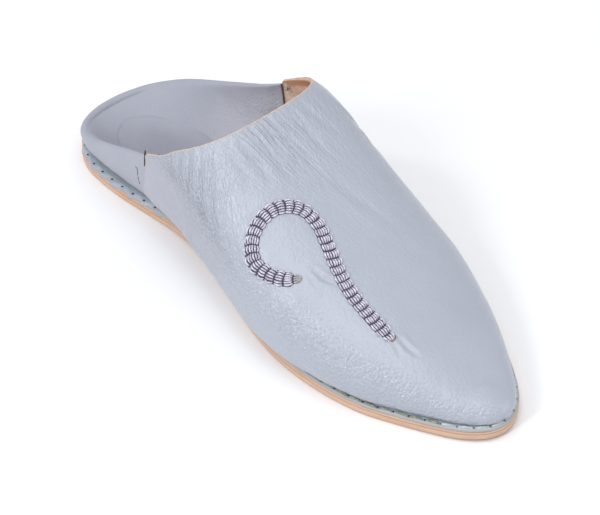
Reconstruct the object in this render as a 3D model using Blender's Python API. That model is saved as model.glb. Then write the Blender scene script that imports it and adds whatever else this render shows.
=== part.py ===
"""A flat pointed leather slipper with an open back: the right shoe of a pair.

Toe along +X, the wearer's left (the inner side of the foot) along +Y, up along +Z, in metres.
The floor is at z = 0 and the origin is under the middle of the shoe's box.
"""

import bmesh
import bpy
import numpy as np

MM = 0.001

# Main sizes
LENGTH = 270 * MM  # sole, heel to tip
SOLE_THICK = 4.5 * MM
SOLE_EDGE_ROUND = 0.5 * MM
ARCH_RISE = 1.0 * MM  # how far the waist of the sole stands off the floor
TOE_SPRING = 1.5 * MM  # how far the tip stands off the floor
WELT_THICK = 1.7 * MM
WELT_INSET = 0.4 * MM  # from the edge of the sole to the edge of the welt
WELT_WAVE = 0.8 * MM  # height of the hand-cut waves of the welt's edge at the heel
WELT_WAVE_PITCH = 9.5 * MM
FIT_GAP = 0.3 * MM  # between pieces that touch
INSOLE_THICK = 2.4 * MM
INSOLE_DISH = 2.2 * MM  # how far the insole rises to its edge at the back of the heel

# Upper
WALL = 1.8 * MM  # leather with its lining
ROLL_THICK = 4.4 * MM  # soft rolled rim at the back of the heel
VAMP_STEP = 1.2 * MM  # the vamp stands this far over the quarter at the side seams
INSTEP_HEIGHT = 78.8 * MM  # height of the crown at its highest
SIDE_BULGE = 14.0 * MM  # how far the side swells out past its foot line at most
FOOT_INSET = 5.0 * MM  # from the edge of the sole to the foot of the upper at the heel
TOE_FAN = 15.0 * MM  # the crown line ends this far behind the tip
RIM_BACK = 12.0 * MM  # height of the opening's edge at the back
RIM_FRONT = 75.0 * MM  # height of the opening's edge over the instep
RIM_SAG = 4.2 * MM  # how far the edge dips under a straight line
RIM_SPAN = 115 * MM  # length of the opening, over which it dips
SEAM_FOOT = 63 * MM  # side seam at its foot, from the back of the heel
EAR_ROW = 0.41  # share up the section at which the side seam meets the opening
LOWER_ROW = 0.25  # share up the section at which the side is widest

# Raised cord ornament
CORD_WIDTH = 6.6 * MM
CORD_RISE = 1.5 * MM
CORD_FOOT = 0.5 * MM
CORD_BLOCK = 3.4 * MM  # length of each bundle of threads

# Where the middle of the shoe's box lies from the heel and from the foot's long axis
BOX_MIDDLE_X = LENGTH / 2
BOX_MIDDLE_Y = -0.866 * MM

# Sole outline, a row per section. Shares of LENGTH: station from the heel, half width to each side.
OUTLINE = (
    # station, outer side, inner side
    (0.000, 0.0000, 0.0000),
    (0.020, 0.0645, 0.0645),
    (0.050, 0.0943, 0.0943),
    (0.085, 0.1100, 0.1098),
    (0.120, 0.1142, 0.1140),
    (0.180, 0.1128, 0.1120),
    (0.250, 0.1045, 0.1040),
    (0.300, 0.0995, 0.0990),
    (0.340, 0.0990, 0.0980),
    (0.400, 0.1050, 0.1040),
    (0.460, 0.1190, 0.1180),
    (0.530, 0.1410, 0.1370),
    (0.590, 0.1560, 0.1520),
    (0.660, 0.1635, 0.1630),
    (0.720, 0.1605, 0.1650),
    (0.770, 0.1525, 0.1560),
    (0.820, 0.1385, 0.1420),
    (0.870, 0.1150, 0.1220),
    (0.920, 0.0885, 0.0945),
    (0.960, 0.0635, 0.0675),
    (0.985, 0.0395, 0.0415),
    (1.000, 0.0000, 0.0000),
)

# Upper, a row per section. Station as a share of LENGTH, foot as a share of FOOT_INSET, outer
# and inner bulge as shares of SIDE_BULGE, crown as a share of INSTEP_HEIGHT, widest as a share
# of the way from the foot to the crown, square as the power of the section's curve.
SECTIONS = (
    # station, foot, outer, inner, crown, widest, square
    (0.000, 0.90, 0.28, 0.28, 0.380, 0.380, 2.66),
    (0.111, 1.00, 0.52, 0.55, 0.686, 0.380, 2.72),
    (0.222, 0.80, 0.72, 0.77, 0.912, 0.380, 2.77),
    (0.315, 0.42, 0.92, 0.95, 0.992, 0.370, 2.82),
    (0.407, 0.32, 1.00, 1.16, 1.000, 0.345, 2.82),
    (0.519, 0.34, 0.68, 0.80, 0.796, 0.290, 2.76),
    (0.630, 0.42, 0.50, 0.42, 0.600, 0.250, 2.66),
    (0.741, 0.54, 0.29, 0.16, 0.444, 0.230, 2.56),
    (0.852, 0.70, 0.14, 0.03, 0.322, 0.240, 2.44),
    (0.926, 0.74, 0.06, 0.02, 0.241, 0.260, 2.30),
    (0.978, 0.60, 0.03, 0.03, 0.201, 0.280, 2.12),
    (1.000, 0.44, 0.02, 0.04, 0.196, 0.300, 2.05),
)

# Thickness of the rolled rim, a row per section. Shares of LENGTH and of ROLL_THICK.
RIM_ROLL = (
    # station, thickness
    (0.000, 1.00),
    (0.090, 0.95),
    (0.180, 0.66),
    (0.260, 0.50),
    (1.000, 0.45),
)

# Middle line of the ornament on the vamp, a row per point. Shares of LENGTH, from its stem on.
HOOK = (
    # station, to the inner side
    (0.8070, -0.0655),
    (0.7600, -0.0665),
    (0.7130, -0.0668),
    (0.6700, -0.0590),
    (0.6300, -0.0465),
    (0.5960, -0.0388),
    (0.5680, -0.0455),
    (0.5490, -0.0690),
    (0.5430, -0.0980),
    (0.5520, -0.1290),
    (0.5760, -0.1450),
    (0.6060, -0.1425),
    (0.6300, -0.1310),
    (0.6480, -0.1117),
)

OUTER, INNER = -1, 1  # the side of the foot, as the sign of y

# Steps of the meshes
SOLE_STEPS = 56
WELT_STEPS = 108
UPPER_STEPS = 34
QUARTER_STEPS = 17
SIDE_ROWS = 7
TOP_ROWS = 10
ROLL_ROWS = 4
INSOLE_STEPS = 36
INSOLE_RINGS = (1.0, 0.94, 0.85, 0.68, 0.38)


def through(stations, values, x):
    """A smooth curve through the rows of a table."""
    stations = np.asarray(stations, float)
    values = np.asarray(values, float)
    slopes = np.gradient(values, stations)
    k = np.clip(np.searchsorted(stations, x, side="right") - 1, 0, len(stations) - 2)
    span = stations[k + 1] - stations[k]
    s = (x - stations[k]) / span
    rise = values[k + 1] - values[k]
    a = slopes[k] * span - rise
    b = rise - slopes[k + 1] * span
    return values[k] + s * rise + s * (1 - s) * ((1 - s) * a + s * b)


def column(table, n):
    return np.array([row[n] for row in table])


def station(v):
    """Distance from the heel of the place v of the way around from the heel to the tip."""
    return LENGTH * (1 - np.cos(np.pi * v)) / 2


def way_round(x):
    return np.arccos(np.clip(1 - 2 * x / LENGTH, -1, 1)) / np.pi


def sole_half(side, v):
    """Half width of the sole on one side."""
    rows = way_round(column(OUTLINE, 0) * LENGTH)
    widths = column(OUTLINE, 1 if side == OUTER else 2) * LENGTH
    return through(rows, widths, v)


def lift(x):
    """How far the sole's underside stands off the floor: a low arch and the toe spring."""
    waist = np.clip((x / LENGTH - 0.22) / 0.30, 0, 1)
    toe = np.clip((x / LENGTH - 0.80) / 0.20, 0, 1)
    return ARCH_RISE * np.sin(np.pi * waist) ** 2 + TOE_SPRING * toe**2


def section(n, x):
    return through(column(SECTIONS, 0) * LENGTH, column(SECTIONS, n), x)


def crown_station(x):
    """The crown line starts at the middle of the heel's arc and ends short of the tip."""
    toe = np.clip((x / LENGTH - 0.80) / 0.20, 0, 1)
    return np.maximum(x - TOE_FAN * toe**2.5, column(OUTLINE, 0)[4] * LENGTH)


FOOT_HEIGHT = SOLE_THICK + WELT_THICK + 2 * FIT_GAP


def skin(side, v, t):
    """Point of the upper's outer skin: v from heel to tip, t from the foot (0) to the crown (1)."""
    x = station(v)
    half = sole_half(side, v)
    crown_x = crown_station(x)
    reach = np.hypot(x - crown_x, half)
    along = (x - crown_x) / reach
    across = half / reach
    foot = reach - section(1, x) * FOOT_INSET
    bulge = section(2 if side == OUTER else 3, x) * SIDE_BULGE
    crown = section(4, x) * INSTEP_HEIGHT
    widest = FOOT_HEIGHT + (crown - FOOT_HEIGHT) * section(5, x)
    power = 2 / section(6, x)
    low = np.clip(t / LOWER_ROW, 0, 1)
    high = np.clip((t - LOWER_ROW) / (1 - LOWER_ROW), 0, 1)
    out = np.maximum(np.cos(high * np.pi / 2), 0) ** power
    wide = foot + bulge
    side_reach = foot + bulge * np.sin(low * np.pi / 2)
    upper = t >= LOWER_ROW
    reach_x = np.where(upper, along * wide * out**2, along * side_reach)
    reach_y = np.where(upper, across * wide * out, across * side_reach)
    z_low = FOOT_HEIGHT + (widest - FOOT_HEIGHT) * low
    z_high = widest + (crown - widest) * np.sin(high * np.pi / 2) ** power
    z = np.where(upper, z_high, z_low) + lift(x)
    return np.stack([crown_x + reach_x, side * reach_y, z], -1)


def skin_normal(side, v, t):
    """Outward direction of the skin."""
    dv, dt = 0.004, 0.004
    v0, v1 = np.clip(v - dv, 0, 1), np.clip(v + dv, 0, 1)
    t0, t1 = np.clip(t - dt, 0, 1), np.clip(t + dt, 0, 1)
    round_way = skin(side, v1, t) - skin(side, v0, t)
    up_way = skin(side, v, t1) - skin(side, v, t0)
    normal = np.cross(round_way, up_way) * -side
    return normal / np.linalg.norm(normal, axis=-1, keepdims=True)


def offset_skin(side, v, t, out):
    """The skin moved out along its direction. Its foot stays at one height over the sole."""
    v = np.asarray(v, float) + np.zeros(np.shape(t))
    t = np.asarray(t, float) + np.zeros(np.shape(v))
    out = np.asarray(out, float) + np.zeros(np.shape(v))
    middle = (t > 0.999) | (v < 1e-6) | (v > 1 - 1e-6)
    normal = skin_normal(side, v, t)
    normal[..., 1] = np.where(middle, 0, normal[..., 1])
    point = skin(side, v, t) + normal * out[..., None]
    floor = FOOT_HEIGHT + lift(point[..., 0])
    point[..., 2] = np.where(t < 1e-6, floor, np.maximum(point[..., 2], floor))
    point[..., 1] = np.where(middle, 0, point[..., 1])
    return point


def rim_height(x):
    """Height of the opening's edge, a plane that sags a little."""
    share = x / RIM_SPAN
    return RIM_BACK + (RIM_FRONT - RIM_BACK) * share - RIM_SAG * 4 * share * (1 - share)


def over_rim(side, v, t):
    point = skin(side, v, t)
    return point[..., 2] - lift(station(v)) - rim_height(point[..., 0])


def halve(inside, low, high):
    """The place between low and high at which inside stops being true."""
    for _ in range(40):
        middle = (low + high) / 2
        yes = inside(middle)
        low = np.where(yes, middle, low)
        high = np.where(yes, high, middle)
    return (low + high) / 2


def collar_place(side, t):
    """How far round the opening's edge crosses the row t of the vamp."""
    start = np.full(np.shape(t), way_round(0.12 * LENGTH))
    stop = np.full(np.shape(t), way_round(0.75 * LENGTH))
    return halve(lambda v: over_rim(side, v, t) > 0, start, stop)


def rim_row(side, v, under):
    """The row at which the quarter's outer skin ends, this far under the opening's edge."""
    start = np.zeros(np.shape(v))
    stop = np.full(np.shape(v), 0.9)
    return halve(lambda t: over_rim(side, v, t) < -under, start, stop)


def roll_at(x):
    return through(column(RIM_ROLL, 0) * LENGTH, column(RIM_ROLL, 1), x) * ROLL_THICK


def seam_place(side, share):
    """How far round the side seam lies, at a share of the way up it."""
    ear = collar_place(side, np.array(EAR_ROW))
    foot = way_round(SEAM_FOOT)
    return foot + (ear - foot) * share


class Shell:
    """Named corners and the faces between them, made into one closed mesh."""

    def __init__(self):
        self.mesh = bmesh.new()
        self.corners = {}

    def corner(self, name, point):
        if name not in self.corners:
            place = (point[0] - BOX_MIDDLE_X, point[1] - BOX_MIDDLE_Y, point[2])
            self.corners[name] = self.mesh.verts.new(place)

    def face(self, *names):
        corners = []
        for name in names:
            vert = self.corners[name]
            if vert not in corners:
                corners.append(vert)
        if len(corners) > 2 and self.mesh.faces.get(corners) is None:
            self.mesh.faces.new(corners)

    def strip(self, first, second):
        """Faces between two rows of as many corners."""
        for k in range(len(first) - 1):
            self.face(first[k], first[k + 1], second[k + 1], second[k])

    def finish(self, name, material, smooth_angle=40):
        bmesh.ops.triangulate(self.mesh, faces=self.mesh.faces, quad_method="SHORT_EDGE")
        bmesh.ops.recalc_face_normals(self.mesh, faces=self.mesh.faces)
        data = bpy.data.meshes.new(name)
        self.mesh.to_mesh(data)
        self.mesh.free()
        data.materials.append(material)
        data.shade_smooth()
        data.set_sharp_from_angle(angle=np.radians(smooth_angle))
        obj = bpy.data.objects.new(name, data)
        bpy.context.scene.collection.objects.link(obj)
        return obj


def plain_material(name, colour, roughness):
    material = bpy.data.materials.new(name)
    material.use_nodes = True
    shader = material.node_tree.nodes["Principled BSDF"]
    shader.inputs["Base Color"].default_value = (*colour, 1)
    shader.inputs["Roughness"].default_value = roughness
    return material


def edge_loop(steps, plan):
    """Places in plan all the way round: outer side from heel to tip, inner side back again."""
    v = np.linspace(0, 1, steps + 1)
    outer = np.stack(plan(OUTER, v), -1)
    inner = np.stack(plan(INNER, v), -1)
    return np.concatenate([outer, inner[-2:0:-1]])


def lay_loop(shell, level, places, height):
    """Corners over the places, this high over the sole's underside. Gives their names, closed."""
    for k, (x, y) in enumerate(places):
        shell.corner((level, k), (x, y, lift(x) + height))
    names = [(level, k) for k in range(len(places))]
    return names + names[:1]


def inset_outline(side, v, inset):
    """The sole's outline moved in towards its middle line."""
    x = station(v)
    half = sole_half(side, v)
    crown_x = crown_station(x)
    reach = np.hypot(x - crown_x, half)
    share = (reach - inset) / reach
    return crown_x + (x - crown_x) * share, side * half * share


def build_outsole(material):
    """A slab with the shoe's outline, bent to the arch and toe spring, its edge eased."""
    shell = Shell()
    steps = SOLE_STEPS
    eased = edge_loop(steps, lambda side, v: inset_outline(side, v, SOLE_EDGE_ROUND))
    full = edge_loop(steps, lambda side, v: inset_outline(side, v, 0))
    loops = [
        lay_loop(shell, "low", eased, 0),
        lay_loop(shell, "side_low", full, SOLE_EDGE_ROUND),
        lay_loop(shell, "side_high", full, SOLE_THICK - SOLE_EDGE_ROUND),
        lay_loop(shell, "top", eased, SOLE_THICK),
    ]
    for first, second in zip(loops, loops[1:]):
        shell.strip(first, second)
    for level in (loops[0], loops[-1]):
        across = level[::-1]
        shell.strip(level[: steps + 1], across[: steps + 1])
    return shell.finish("outsole", material)


def wall_depth(x):
    """Distance from the quarter's outer skin to its lining, or from the vamp's underlay."""
    forward = np.clip((x / LENGTH - 0.26) / 0.10, 0, 1)
    return WALL - (VAMP_STEP * forward**2 * (3 - 2 * forward))


def lining_foot(side, v):
    """Foot of the lining on the welt, in plan."""
    point = offset_skin(side, v, np.zeros(np.shape(v)), -wall_depth(station(v)))
    return point[..., 0], point[..., 1]


def welt_edge(side, v):
    """The welt's outer edge, cut by hand in low waves that fade towards the toe."""
    x = station(v)
    steps = np.hypot(np.diff(x, prepend=x[0]), np.diff(sole_half(side, v), prepend=0))
    fade = np.clip(1 - (x / LENGTH - 0.20) / 0.40, 0.15, 1)
    turn = 2 * np.pi * np.cumsum(steps) / WELT_WAVE_PITCH
    wave = WELT_WAVE * fade * (0.5 + 0.5 * np.cos(turn + 0.8 * np.sin(turn * 0.37)))
    return inset_outline(side, v, WELT_INSET + wave)


def build_welt(material):
    """A flat leather strip all the way round, from near the sole's edge to under the lining."""
    shell = Shell()
    base = SOLE_THICK + FIT_GAP
    outer = edge_loop(WELT_STEPS, welt_edge)
    inner = edge_loop(WELT_STEPS, lining_foot)
    loops = [
        lay_loop(shell, "out_low", outer, base),
        lay_loop(shell, "out_high", outer, base + WELT_THICK),
        lay_loop(shell, "in_high", inner, base + WELT_THICK),
        lay_loop(shell, "in_low", inner, base),
    ]
    for first, second in zip(loops, loops[1:] + loops[:1]):
        shell.strip(first, second)
    return shell.finish("welt", material)


def insole_rise(x):
    """How far the insole's edge rises at the back of the heel."""
    back = np.clip(1 - x / (0.24 * LENGTH), 0, 1)
    return INSOLE_DISH * back**1.5


def insole_top_edge(side, v, depth):
    """Upper edge of the insole, against the lining."""
    x = station(v)
    low, high = np.zeros(len(v)), np.full(len(v), 0.2)
    goal = FOOT_HEIGHT + insole_rise(x)
    t = halve(lambda t: skin(side, v, t)[..., 2] - lift(x) < goal, low, high)
    return offset_skin(side, v, t, -depth - np.maximum(roll_at(x) - WALL, 0))


def insole_name(level, side, k):
    """Both sides share the corners at the heel and at the tip."""
    return (level, 0 if k in (0, INSOLE_STEPS) else side, k)


def insole_corners(shell, side):
    """Corners of one side of the insole: its edge, and rings in to its middle line."""
    v = np.linspace(0, 1, INSOLE_STEPS + 1)
    x = station(v)
    depth = wall_depth(x) + FIT_GAP
    edge = offset_skin(side, v, np.zeros(len(v)), -depth)
    top = insole_top_edge(side, v, depth)
    base = SOLE_THICK + FIT_GAP
    for k, centre in enumerate(crown_station(x)):
        foot_x, foot_y = edge[k, 0], edge[k, 1]
        shell.corner(insole_name("low", side, k), (foot_x, foot_y, base + lift(foot_x)))
        shell.corner(insole_name("foot", side, k), (foot_x, foot_y, FOOT_HEIGHT + lift(foot_x)))
        for ring, share in enumerate(INSOLE_RINGS):
            ring_x = centre + (top[k, 0] - centre) * share
            floor = base + INSOLE_THICK + lift(ring_x)
            rise = max(top[k, 2] - floor, 0) * share**5
            shell.corner(insole_name(ring, side, k), (ring_x, top[k, 1] * share, floor + rise))
        shell.corner(("middle", 0, k), (centre, 0, base + INSOLE_THICK + lift(centre)))


def insole_faces(shell, side):
    levels = ["low", "foot", *range(len(INSOLE_RINGS))]
    rows = [[insole_name(level, side, k) for k in range(INSOLE_STEPS + 1)] for level in levels]
    rows.append([("middle", 0, k) for k in range(INSOLE_STEPS + 1)])
    for first, second in zip(rows, rows[1:]):
        shell.strip(first, second)


def build_insole(material):
    """A thin pad inside the welt, dished at the heel, on the outsole."""
    shell = Shell()
    for side in (OUTER, INNER):
        insole_corners(shell, side)
        insole_faces(shell, side)
    low = [[insole_name("low", side, k) for k in range(INSOLE_STEPS + 1)] for side in (OUTER, INNER)]
    shell.strip(*low)
    return shell.finish("insole", material)


def quarter_rows(side, k):
    """Where column k of the quarter lies: how far round, how far up, and the rim's thickness."""
    heights = np.linspace(0, 1, SIDE_ROWS + 1)
    top = seam_place(side, 1.0)
    v_top = top * k / QUARTER_STEPS
    roll = roll_at(station(v_top))
    t_end = EAR_ROW
    if k < QUARTER_STEPS:
        t_end = float(rim_row(side, v_top, roll / 2 * (1 - k / QUARTER_STEPS)))
    lean = (seam_place(side, 0.0) - top) * (k / QUARTER_STEPS) ** 3
    return v_top + lean * (1 - heights), heights * t_end, roll


def quarter_columns(shell, side):
    """Corners of one half of the quarter, from the middle of the heel to the side seam."""
    near_rim = np.clip((np.linspace(0, 1, SIDE_ROWS + 1) - 0.35) / 0.65, 0, 1)
    for k in range(QUARTER_STEPS + 1):
        own = 0 if k == 0 else side
        v, t, roll = quarter_rows(side, k)
        swell = max(roll - WALL, 0) * near_rim**2 * (3 - 2 * near_rim)
        out = offset_skin(side, v, t, np.zeros(len(t)))
        lining = offset_skin(side, v, t, -wall_depth(station(v[-1])) - swell)
        for j in range(SIDE_ROWS + 1):
            shell.corner(("out", own, k, j), out[j])
            shell.corner(("in", own, k, j), lining[j])
        rim_over(shell, own, k, out[-1], lining[-1], out[-1] - out[-2])


def rim_over(shell, own, k, outer, inner, up):
    """Corners of the half round that closes the rim."""
    middle = (outer + inner) / 2
    arm = outer - middle
    up = up - arm * np.dot(up, arm) / np.dot(arm, arm)
    up = up / np.linalg.norm(up) * np.linalg.norm(arm)
    for n in range(1, ROLL_ROWS):
        turn = np.pi * n / ROLL_ROWS
        point = middle + arm * np.cos(turn) + up * np.sin(turn)
        if own == 0:
            point = np.array([point[0], 0, point[2]])
        shell.corner(("over", own, k, n), point)


def quarter_ring(side, k):
    """Names of the corners round the quarter's section at column k, closed."""
    own = 0 if k == 0 else side
    outer = [("out", own, k, j) for j in range(SIDE_ROWS + 1)]
    over = [("over", own, k, n) for n in range(1, ROLL_ROWS)]
    inner = [("in", own, k, j) for j in range(SIDE_ROWS, -1, -1)]
    return outer + over + inner + outer[:1]


def quarter_faces(shell, side):
    for k in range(QUARTER_STEPS):
        shell.strip(quarter_ring(side, k), quarter_ring(side, k + 1))


def vamp_rows():
    low = np.linspace(0, EAR_ROW, SIDE_ROWS + 1)
    high = np.linspace(EAR_ROW, 1, TOP_ROWS + 1)[1:]
    return np.concatenate([low, high])


def vamp_corners(shell, side):
    """Corners of one half of the vamp, from its back edge to the tip, foot to crown."""
    rows = vamp_rows()
    collar = collar_place(side, rows)
    last = len(rows) - 1
    for r, t in enumerate(rows):
        back = seam_place(side, t / EAR_ROW) if t < EAR_ROW - 1e-9 else collar[r]
        share = np.linspace(0, 1, UPPER_STEPS + 1)
        v = back + (1 - back) * share
        x = station(v)
        out = offset_skin(side, v, np.full(len(v), t), VAMP_STEP)
        lining = offset_skin(side, v, np.full(len(v), t), -wall_depth(x))
        for i in range(UPPER_STEPS + 1):
            own = 0 if r == last or i == UPPER_STEPS else side
            shell.corner(("vamp", own, i, r), out[i])
            if i == 0 and r <= SIDE_ROWS:
                continue
            shell.corner(("lining", own, i, r), lining[i])


def vamp_name(layer, side, i, r):
    """The vamp's lining starts at the quarter's at the side seam."""
    last = SIDE_ROWS + TOP_ROWS
    if layer == "lining" and i == 0 and r <= SIDE_ROWS:
        return ("in", side, QUARTER_STEPS, r)
    return (layer, 0 if r == last or i == UPPER_STEPS else side, i, r)


def vamp_faces(shell, side):
    """Both faces of the vamp's wall, its foot and its collar."""
    last = SIDE_ROWS + TOP_ROWS
    foot, collar = [], []
    for layer in ("vamp", "lining"):
        rows = []
        for r in range(last + 1):
            rows.append([vamp_name(layer, side, i, r) for i in range(UPPER_STEPS + 1)])
        for first, second in zip(rows, rows[1:]):
            shell.strip(first, second)
        foot.append(rows[0])
        collar.append([row[0] for row in rows[SIDE_ROWS:]])
    shell.strip(*foot)
    shell.strip(*collar)


def seam_faces(shell, side):
    """The step from the quarter up to the vamp's back edge, and the ends that close it."""
    k = QUARTER_STEPS
    quarter = [("out", side, k, j) for j in range(SIDE_ROWS + 1)]
    vamp = [vamp_name("vamp", side, 0, j) for j in range(SIDE_ROWS + 1)]
    shell.strip(quarter, vamp)
    shell.face(vamp[0], quarter[0], ("in", side, k, 0))
    over = [("over", side, k, n) for n in range(1, ROLL_ROWS)]
    end = [quarter[-1]] + over + [("in", side, k, SIDE_ROWS)]
    for first, second in zip(end, end[1:]):
        shell.face(vamp[-1], first, second)


def build_upper(material):
    """Vamp and quarter as one hollow piece, open at the top and under the foot."""
    shell = Shell()
    for side in (OUTER, INNER):
        quarter_columns(shell, side)
        vamp_corners(shell, side)
    for side in (OUTER, INNER):
        quarter_faces(shell, side)
        vamp_faces(shell, side)
        seam_faces(shell, side)
    return shell.finish("upper", material)


def vamp_place(x, y):
    """Where on the skin a point seen from above lies: how far round, and how far up."""
    side = OUTER if y < 0 else INNER
    v, t = way_round(x), 0.8
    for _ in range(6):
        here = skin(side, np.array(v), np.array(t))
        step_v = skin(side, np.array(v + 1e-4), np.array(t)) - here
        step_t = skin(side, np.array(v), np.array(t - 1e-4)) - here
        ways = np.array([[step_v[0], step_t[0]], [step_v[1], step_t[1]]])
        move = np.linalg.solve(ways, np.array([x - here[0], y - here[1]]))
        v = float(np.clip(v + move[0] * 1e-4, 0.3, 0.999))
        t = float(np.clip(t - move[1] * 1e-4, 0.3, 0.999))
    return side, v, t


def hook_line(step):
    """Evenly spaced points along the ornament's middle line, in plan."""
    points = np.array(HOOK) * LENGTH
    length = np.concatenate([[0], np.cumsum(np.hypot(*np.diff(points, axis=0).T))])
    fine = np.linspace(0, length[-1], 601)
    line = np.stack([through(length, points[:, 0], fine), through(length, points[:, 1], fine)], -1)
    solid = np.array([skin_point(x, y)[0] for x, y in line[::12]])
    run = np.concatenate([[0], np.cumsum(np.linalg.norm(np.diff(solid, axis=0), axis=1))])
    count = max(2, round(run[-1] / step))
    want = np.linspace(0, run[-1], count + 1)
    share = np.interp(want, run, fine[::12])
    return np.stack([through(length, points[:, 0], share), through(length, points[:, 1], share)], -1)


def skin_point(x, y):
    side, v, t = vamp_place(x, y)
    point = skin(side, np.array(v), np.array(t))
    normal = skin_normal(side, np.array(v), np.array(t))
    return point + normal * VAMP_STEP, normal


def cord_section(k, last):
    """Corners across the band at row k: share of its half width, and height over the vamp."""
    between, end = k % 3 == 0, k in (0, last)
    rise = CORD_RISE * (0.55 if between else 1.0) * (0.6 if end else 1.0)
    wide = (0.93 if between else 1.0) * (0.45 if end else 1.0)
    left = [(-wide, FIT_GAP), (-wide, CORD_FOOT), (-0.55 * wide, rise)]
    return left + [(-share, height) for share, height in left[::-1]]


def build_ornament(material):
    """A raised band of cord bundles that follows the vamp, a small gap over it."""
    shell = Shell()
    rows = [skin_point(x, y) for x, y in hook_line(CORD_BLOCK / 3)]
    points = np.array([row[0] for row in rows])
    normals = np.array([row[1] for row in rows])
    across = np.cross(normals, np.gradient(points, axis=0))
    across /= np.linalg.norm(across, axis=1, keepdims=True)
    last = len(points) - 1
    rings = []
    for k in range(last + 1):
        for n, (share, height) in enumerate(cord_section(k, last)):
            sideways = points[k] + across[k] * CORD_WIDTH / 2 * share
            shell.corner((k, n), hug(sideways, height))
        rings.append([(k, n) for n in range(6)])
    for first, second in zip(rings, rings[1:]):
        shell.strip(first + first[:1], second + second[:1])
    shell.face(*rings[0])
    shell.face(*rings[-1])
    return shell.finish("embroidery", material)


def hug(point, height):
    """The point brought to this height over the vamp's skin."""
    base, normal = skin_point(point[0], point[1])
    return base + normal * height


def clear_scene():
    for obj in list(bpy.data.objects):
        bpy.data.objects.remove(obj, do_unlink=True)


def main():
    clear_scene()
    tan = plain_material("sole_leather", (0.62, 0.42, 0.28), 0.6)
    blue = plain_material("blue_leather", (0.42, 0.47, 0.56), 0.42)
    strip = plain_material("welt_leather", (0.36, 0.41, 0.47), 0.5)
    sock = plain_material("sock_leather", (0.38, 0.40, 0.47), 0.6)
    thread = plain_material("silk_thread", (0.45, 0.42, 0.52), 0.4)
    build_outsole(tan)
    build_welt(strip)
    build_insole(sock)
    build_upper(blue)
    build_ornament(thread)


main()
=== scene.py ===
import math

import bmesh
import bpy
import numpy as np
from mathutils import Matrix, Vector


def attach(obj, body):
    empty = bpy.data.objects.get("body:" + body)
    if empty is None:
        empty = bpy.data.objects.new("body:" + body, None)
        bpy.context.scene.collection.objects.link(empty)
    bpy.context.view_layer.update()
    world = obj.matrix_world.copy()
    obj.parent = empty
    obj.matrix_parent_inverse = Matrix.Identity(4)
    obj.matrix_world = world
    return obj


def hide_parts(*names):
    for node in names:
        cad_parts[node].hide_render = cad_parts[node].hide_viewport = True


# A flat pointed leather slipper with an open back, the right shoe of a pair.
# Toe along +X, the inner side of the foot along +Y, up along +Z, in metres.

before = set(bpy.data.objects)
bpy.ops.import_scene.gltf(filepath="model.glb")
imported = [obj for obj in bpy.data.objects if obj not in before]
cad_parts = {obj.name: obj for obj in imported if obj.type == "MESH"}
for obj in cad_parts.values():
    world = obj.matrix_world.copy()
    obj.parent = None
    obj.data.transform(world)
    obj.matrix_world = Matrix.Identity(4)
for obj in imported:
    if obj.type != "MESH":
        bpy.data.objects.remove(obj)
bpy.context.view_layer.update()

MM = 0.001

# Main sizes, the same as the solids'
LENGTH = 270 * MM
SOLE_THICK = 4.5 * MM
ARCH_RISE = 1.0 * MM
TOE_SPRING = 1.5 * MM
WELT_THICK = 1.7 * MM
WELT_WAVE_PITCH = 9.5 * MM
FIT_GAP = 0.3 * MM
INSOLE_THICK = 2.4 * MM
BOWL_RISE = 5.5 * MM  # how far the sock rises up the lining, at most
BOWL_FILLET = 14 * MM  # width over which it rises
BOWL_LEAN = 12.0 * MM  # how far the lining slopes in from the rim to the foot, at the heel
WALL = 1.8 * MM
ROLL_THICK = 4.4 * MM
VAMP_STEP = 1.2 * MM
INSTEP_HEIGHT = 78.8 * MM
SIDE_BULGE = 14.0 * MM
FOOT_INSET = 5.0 * MM
TOE_FAN = 15.0 * MM
RIM_BACK = 12.0 * MM
RIM_FRONT = 75.0 * MM
RIM_SAG = 4.2 * MM
RIM_SPAN = 115 * MM
SEAM_FOOT = 63 * MM
EAR_ROWS = (0.385, 0.43)  # where the seam meets the opening, outer and inner side
LOWER_ROW = 0.25
BOX_MIDDLE_X = LENGTH / 2
BOX_MIDDLE_Y = -0.866 * MM
FOOT_HEIGHT = SOLE_THICK + WELT_THICK + 2 * FIT_GAP

# Sizes that only show
FLAP_FRONT = 85.5 * MM  # the quarter runs on inside the vamp to here
FLAP_EDGE = 1.1 * MM  # thickness of its skived front edge
VAMP_THICK = 1.8 * MM
VAMP_THICK_SEAM = 1.12 * MM  # skived where it lies on the quarter
SKIVE_REACH = 9 * MM  # width of the thinned strip along the side seam
SKIVE_DROP = 0.85 * MM  # how much lower the thinned edge lies
INNER_SWELL = 2.0 * MM  # the soft leather stands out a little beside the instep, inner side
SLIT_LENGTH = 7 * MM  # the seam gapes this far down from the opening
SLIT_LIFT = 0.7 * MM
SLIT_REACH = 5 * MM  # width of the leather that stands up along it
QUARTER_SWELL = 0.9 * MM  # how far the quarter stands out half way up, at the heel
QUARTER_CURL = 1.0 * MM  # how far it curls in at its foot
SKIN_WAVES = 0.16 * MM  # depth of the low waves of hand-worked leather
FOOT_TUCK = 1.2 * MM  # the upper curls in this far at its foot
FOOT_CURL = 1.0 * MM  # height of that curl
EAR_DIP = 3.2 * MM  # how far the outer ear's edge is worn forward of the opening's plane
REAR_DIP = 1.8 * MM  # how far the quarter's rim sinks behind that ear
WELT_DROOP = 0.35 * MM  # the welt's edge hangs this far over the sole's corner
EDGE_BEAD = 0.30 * MM  # half the thickness of the pale cut edge round the opening
CUT_BAND = 8.0 * MM  # width of the darker band under that edge, inside
THREAD_WIDTH = 1.0 * MM
STITCH_PITCH = 7.0 * MM
STITCH_INSET = 1.5 * MM  # from the sole's edge to the row of stitches
STITCHED_FROM = 0.45 * LENGTH  # nearer the heel the threads have sunk into the welt
PALE_FROM = 0.94 * LENGTH  # round the toe the thread is paler and thicker
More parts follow.
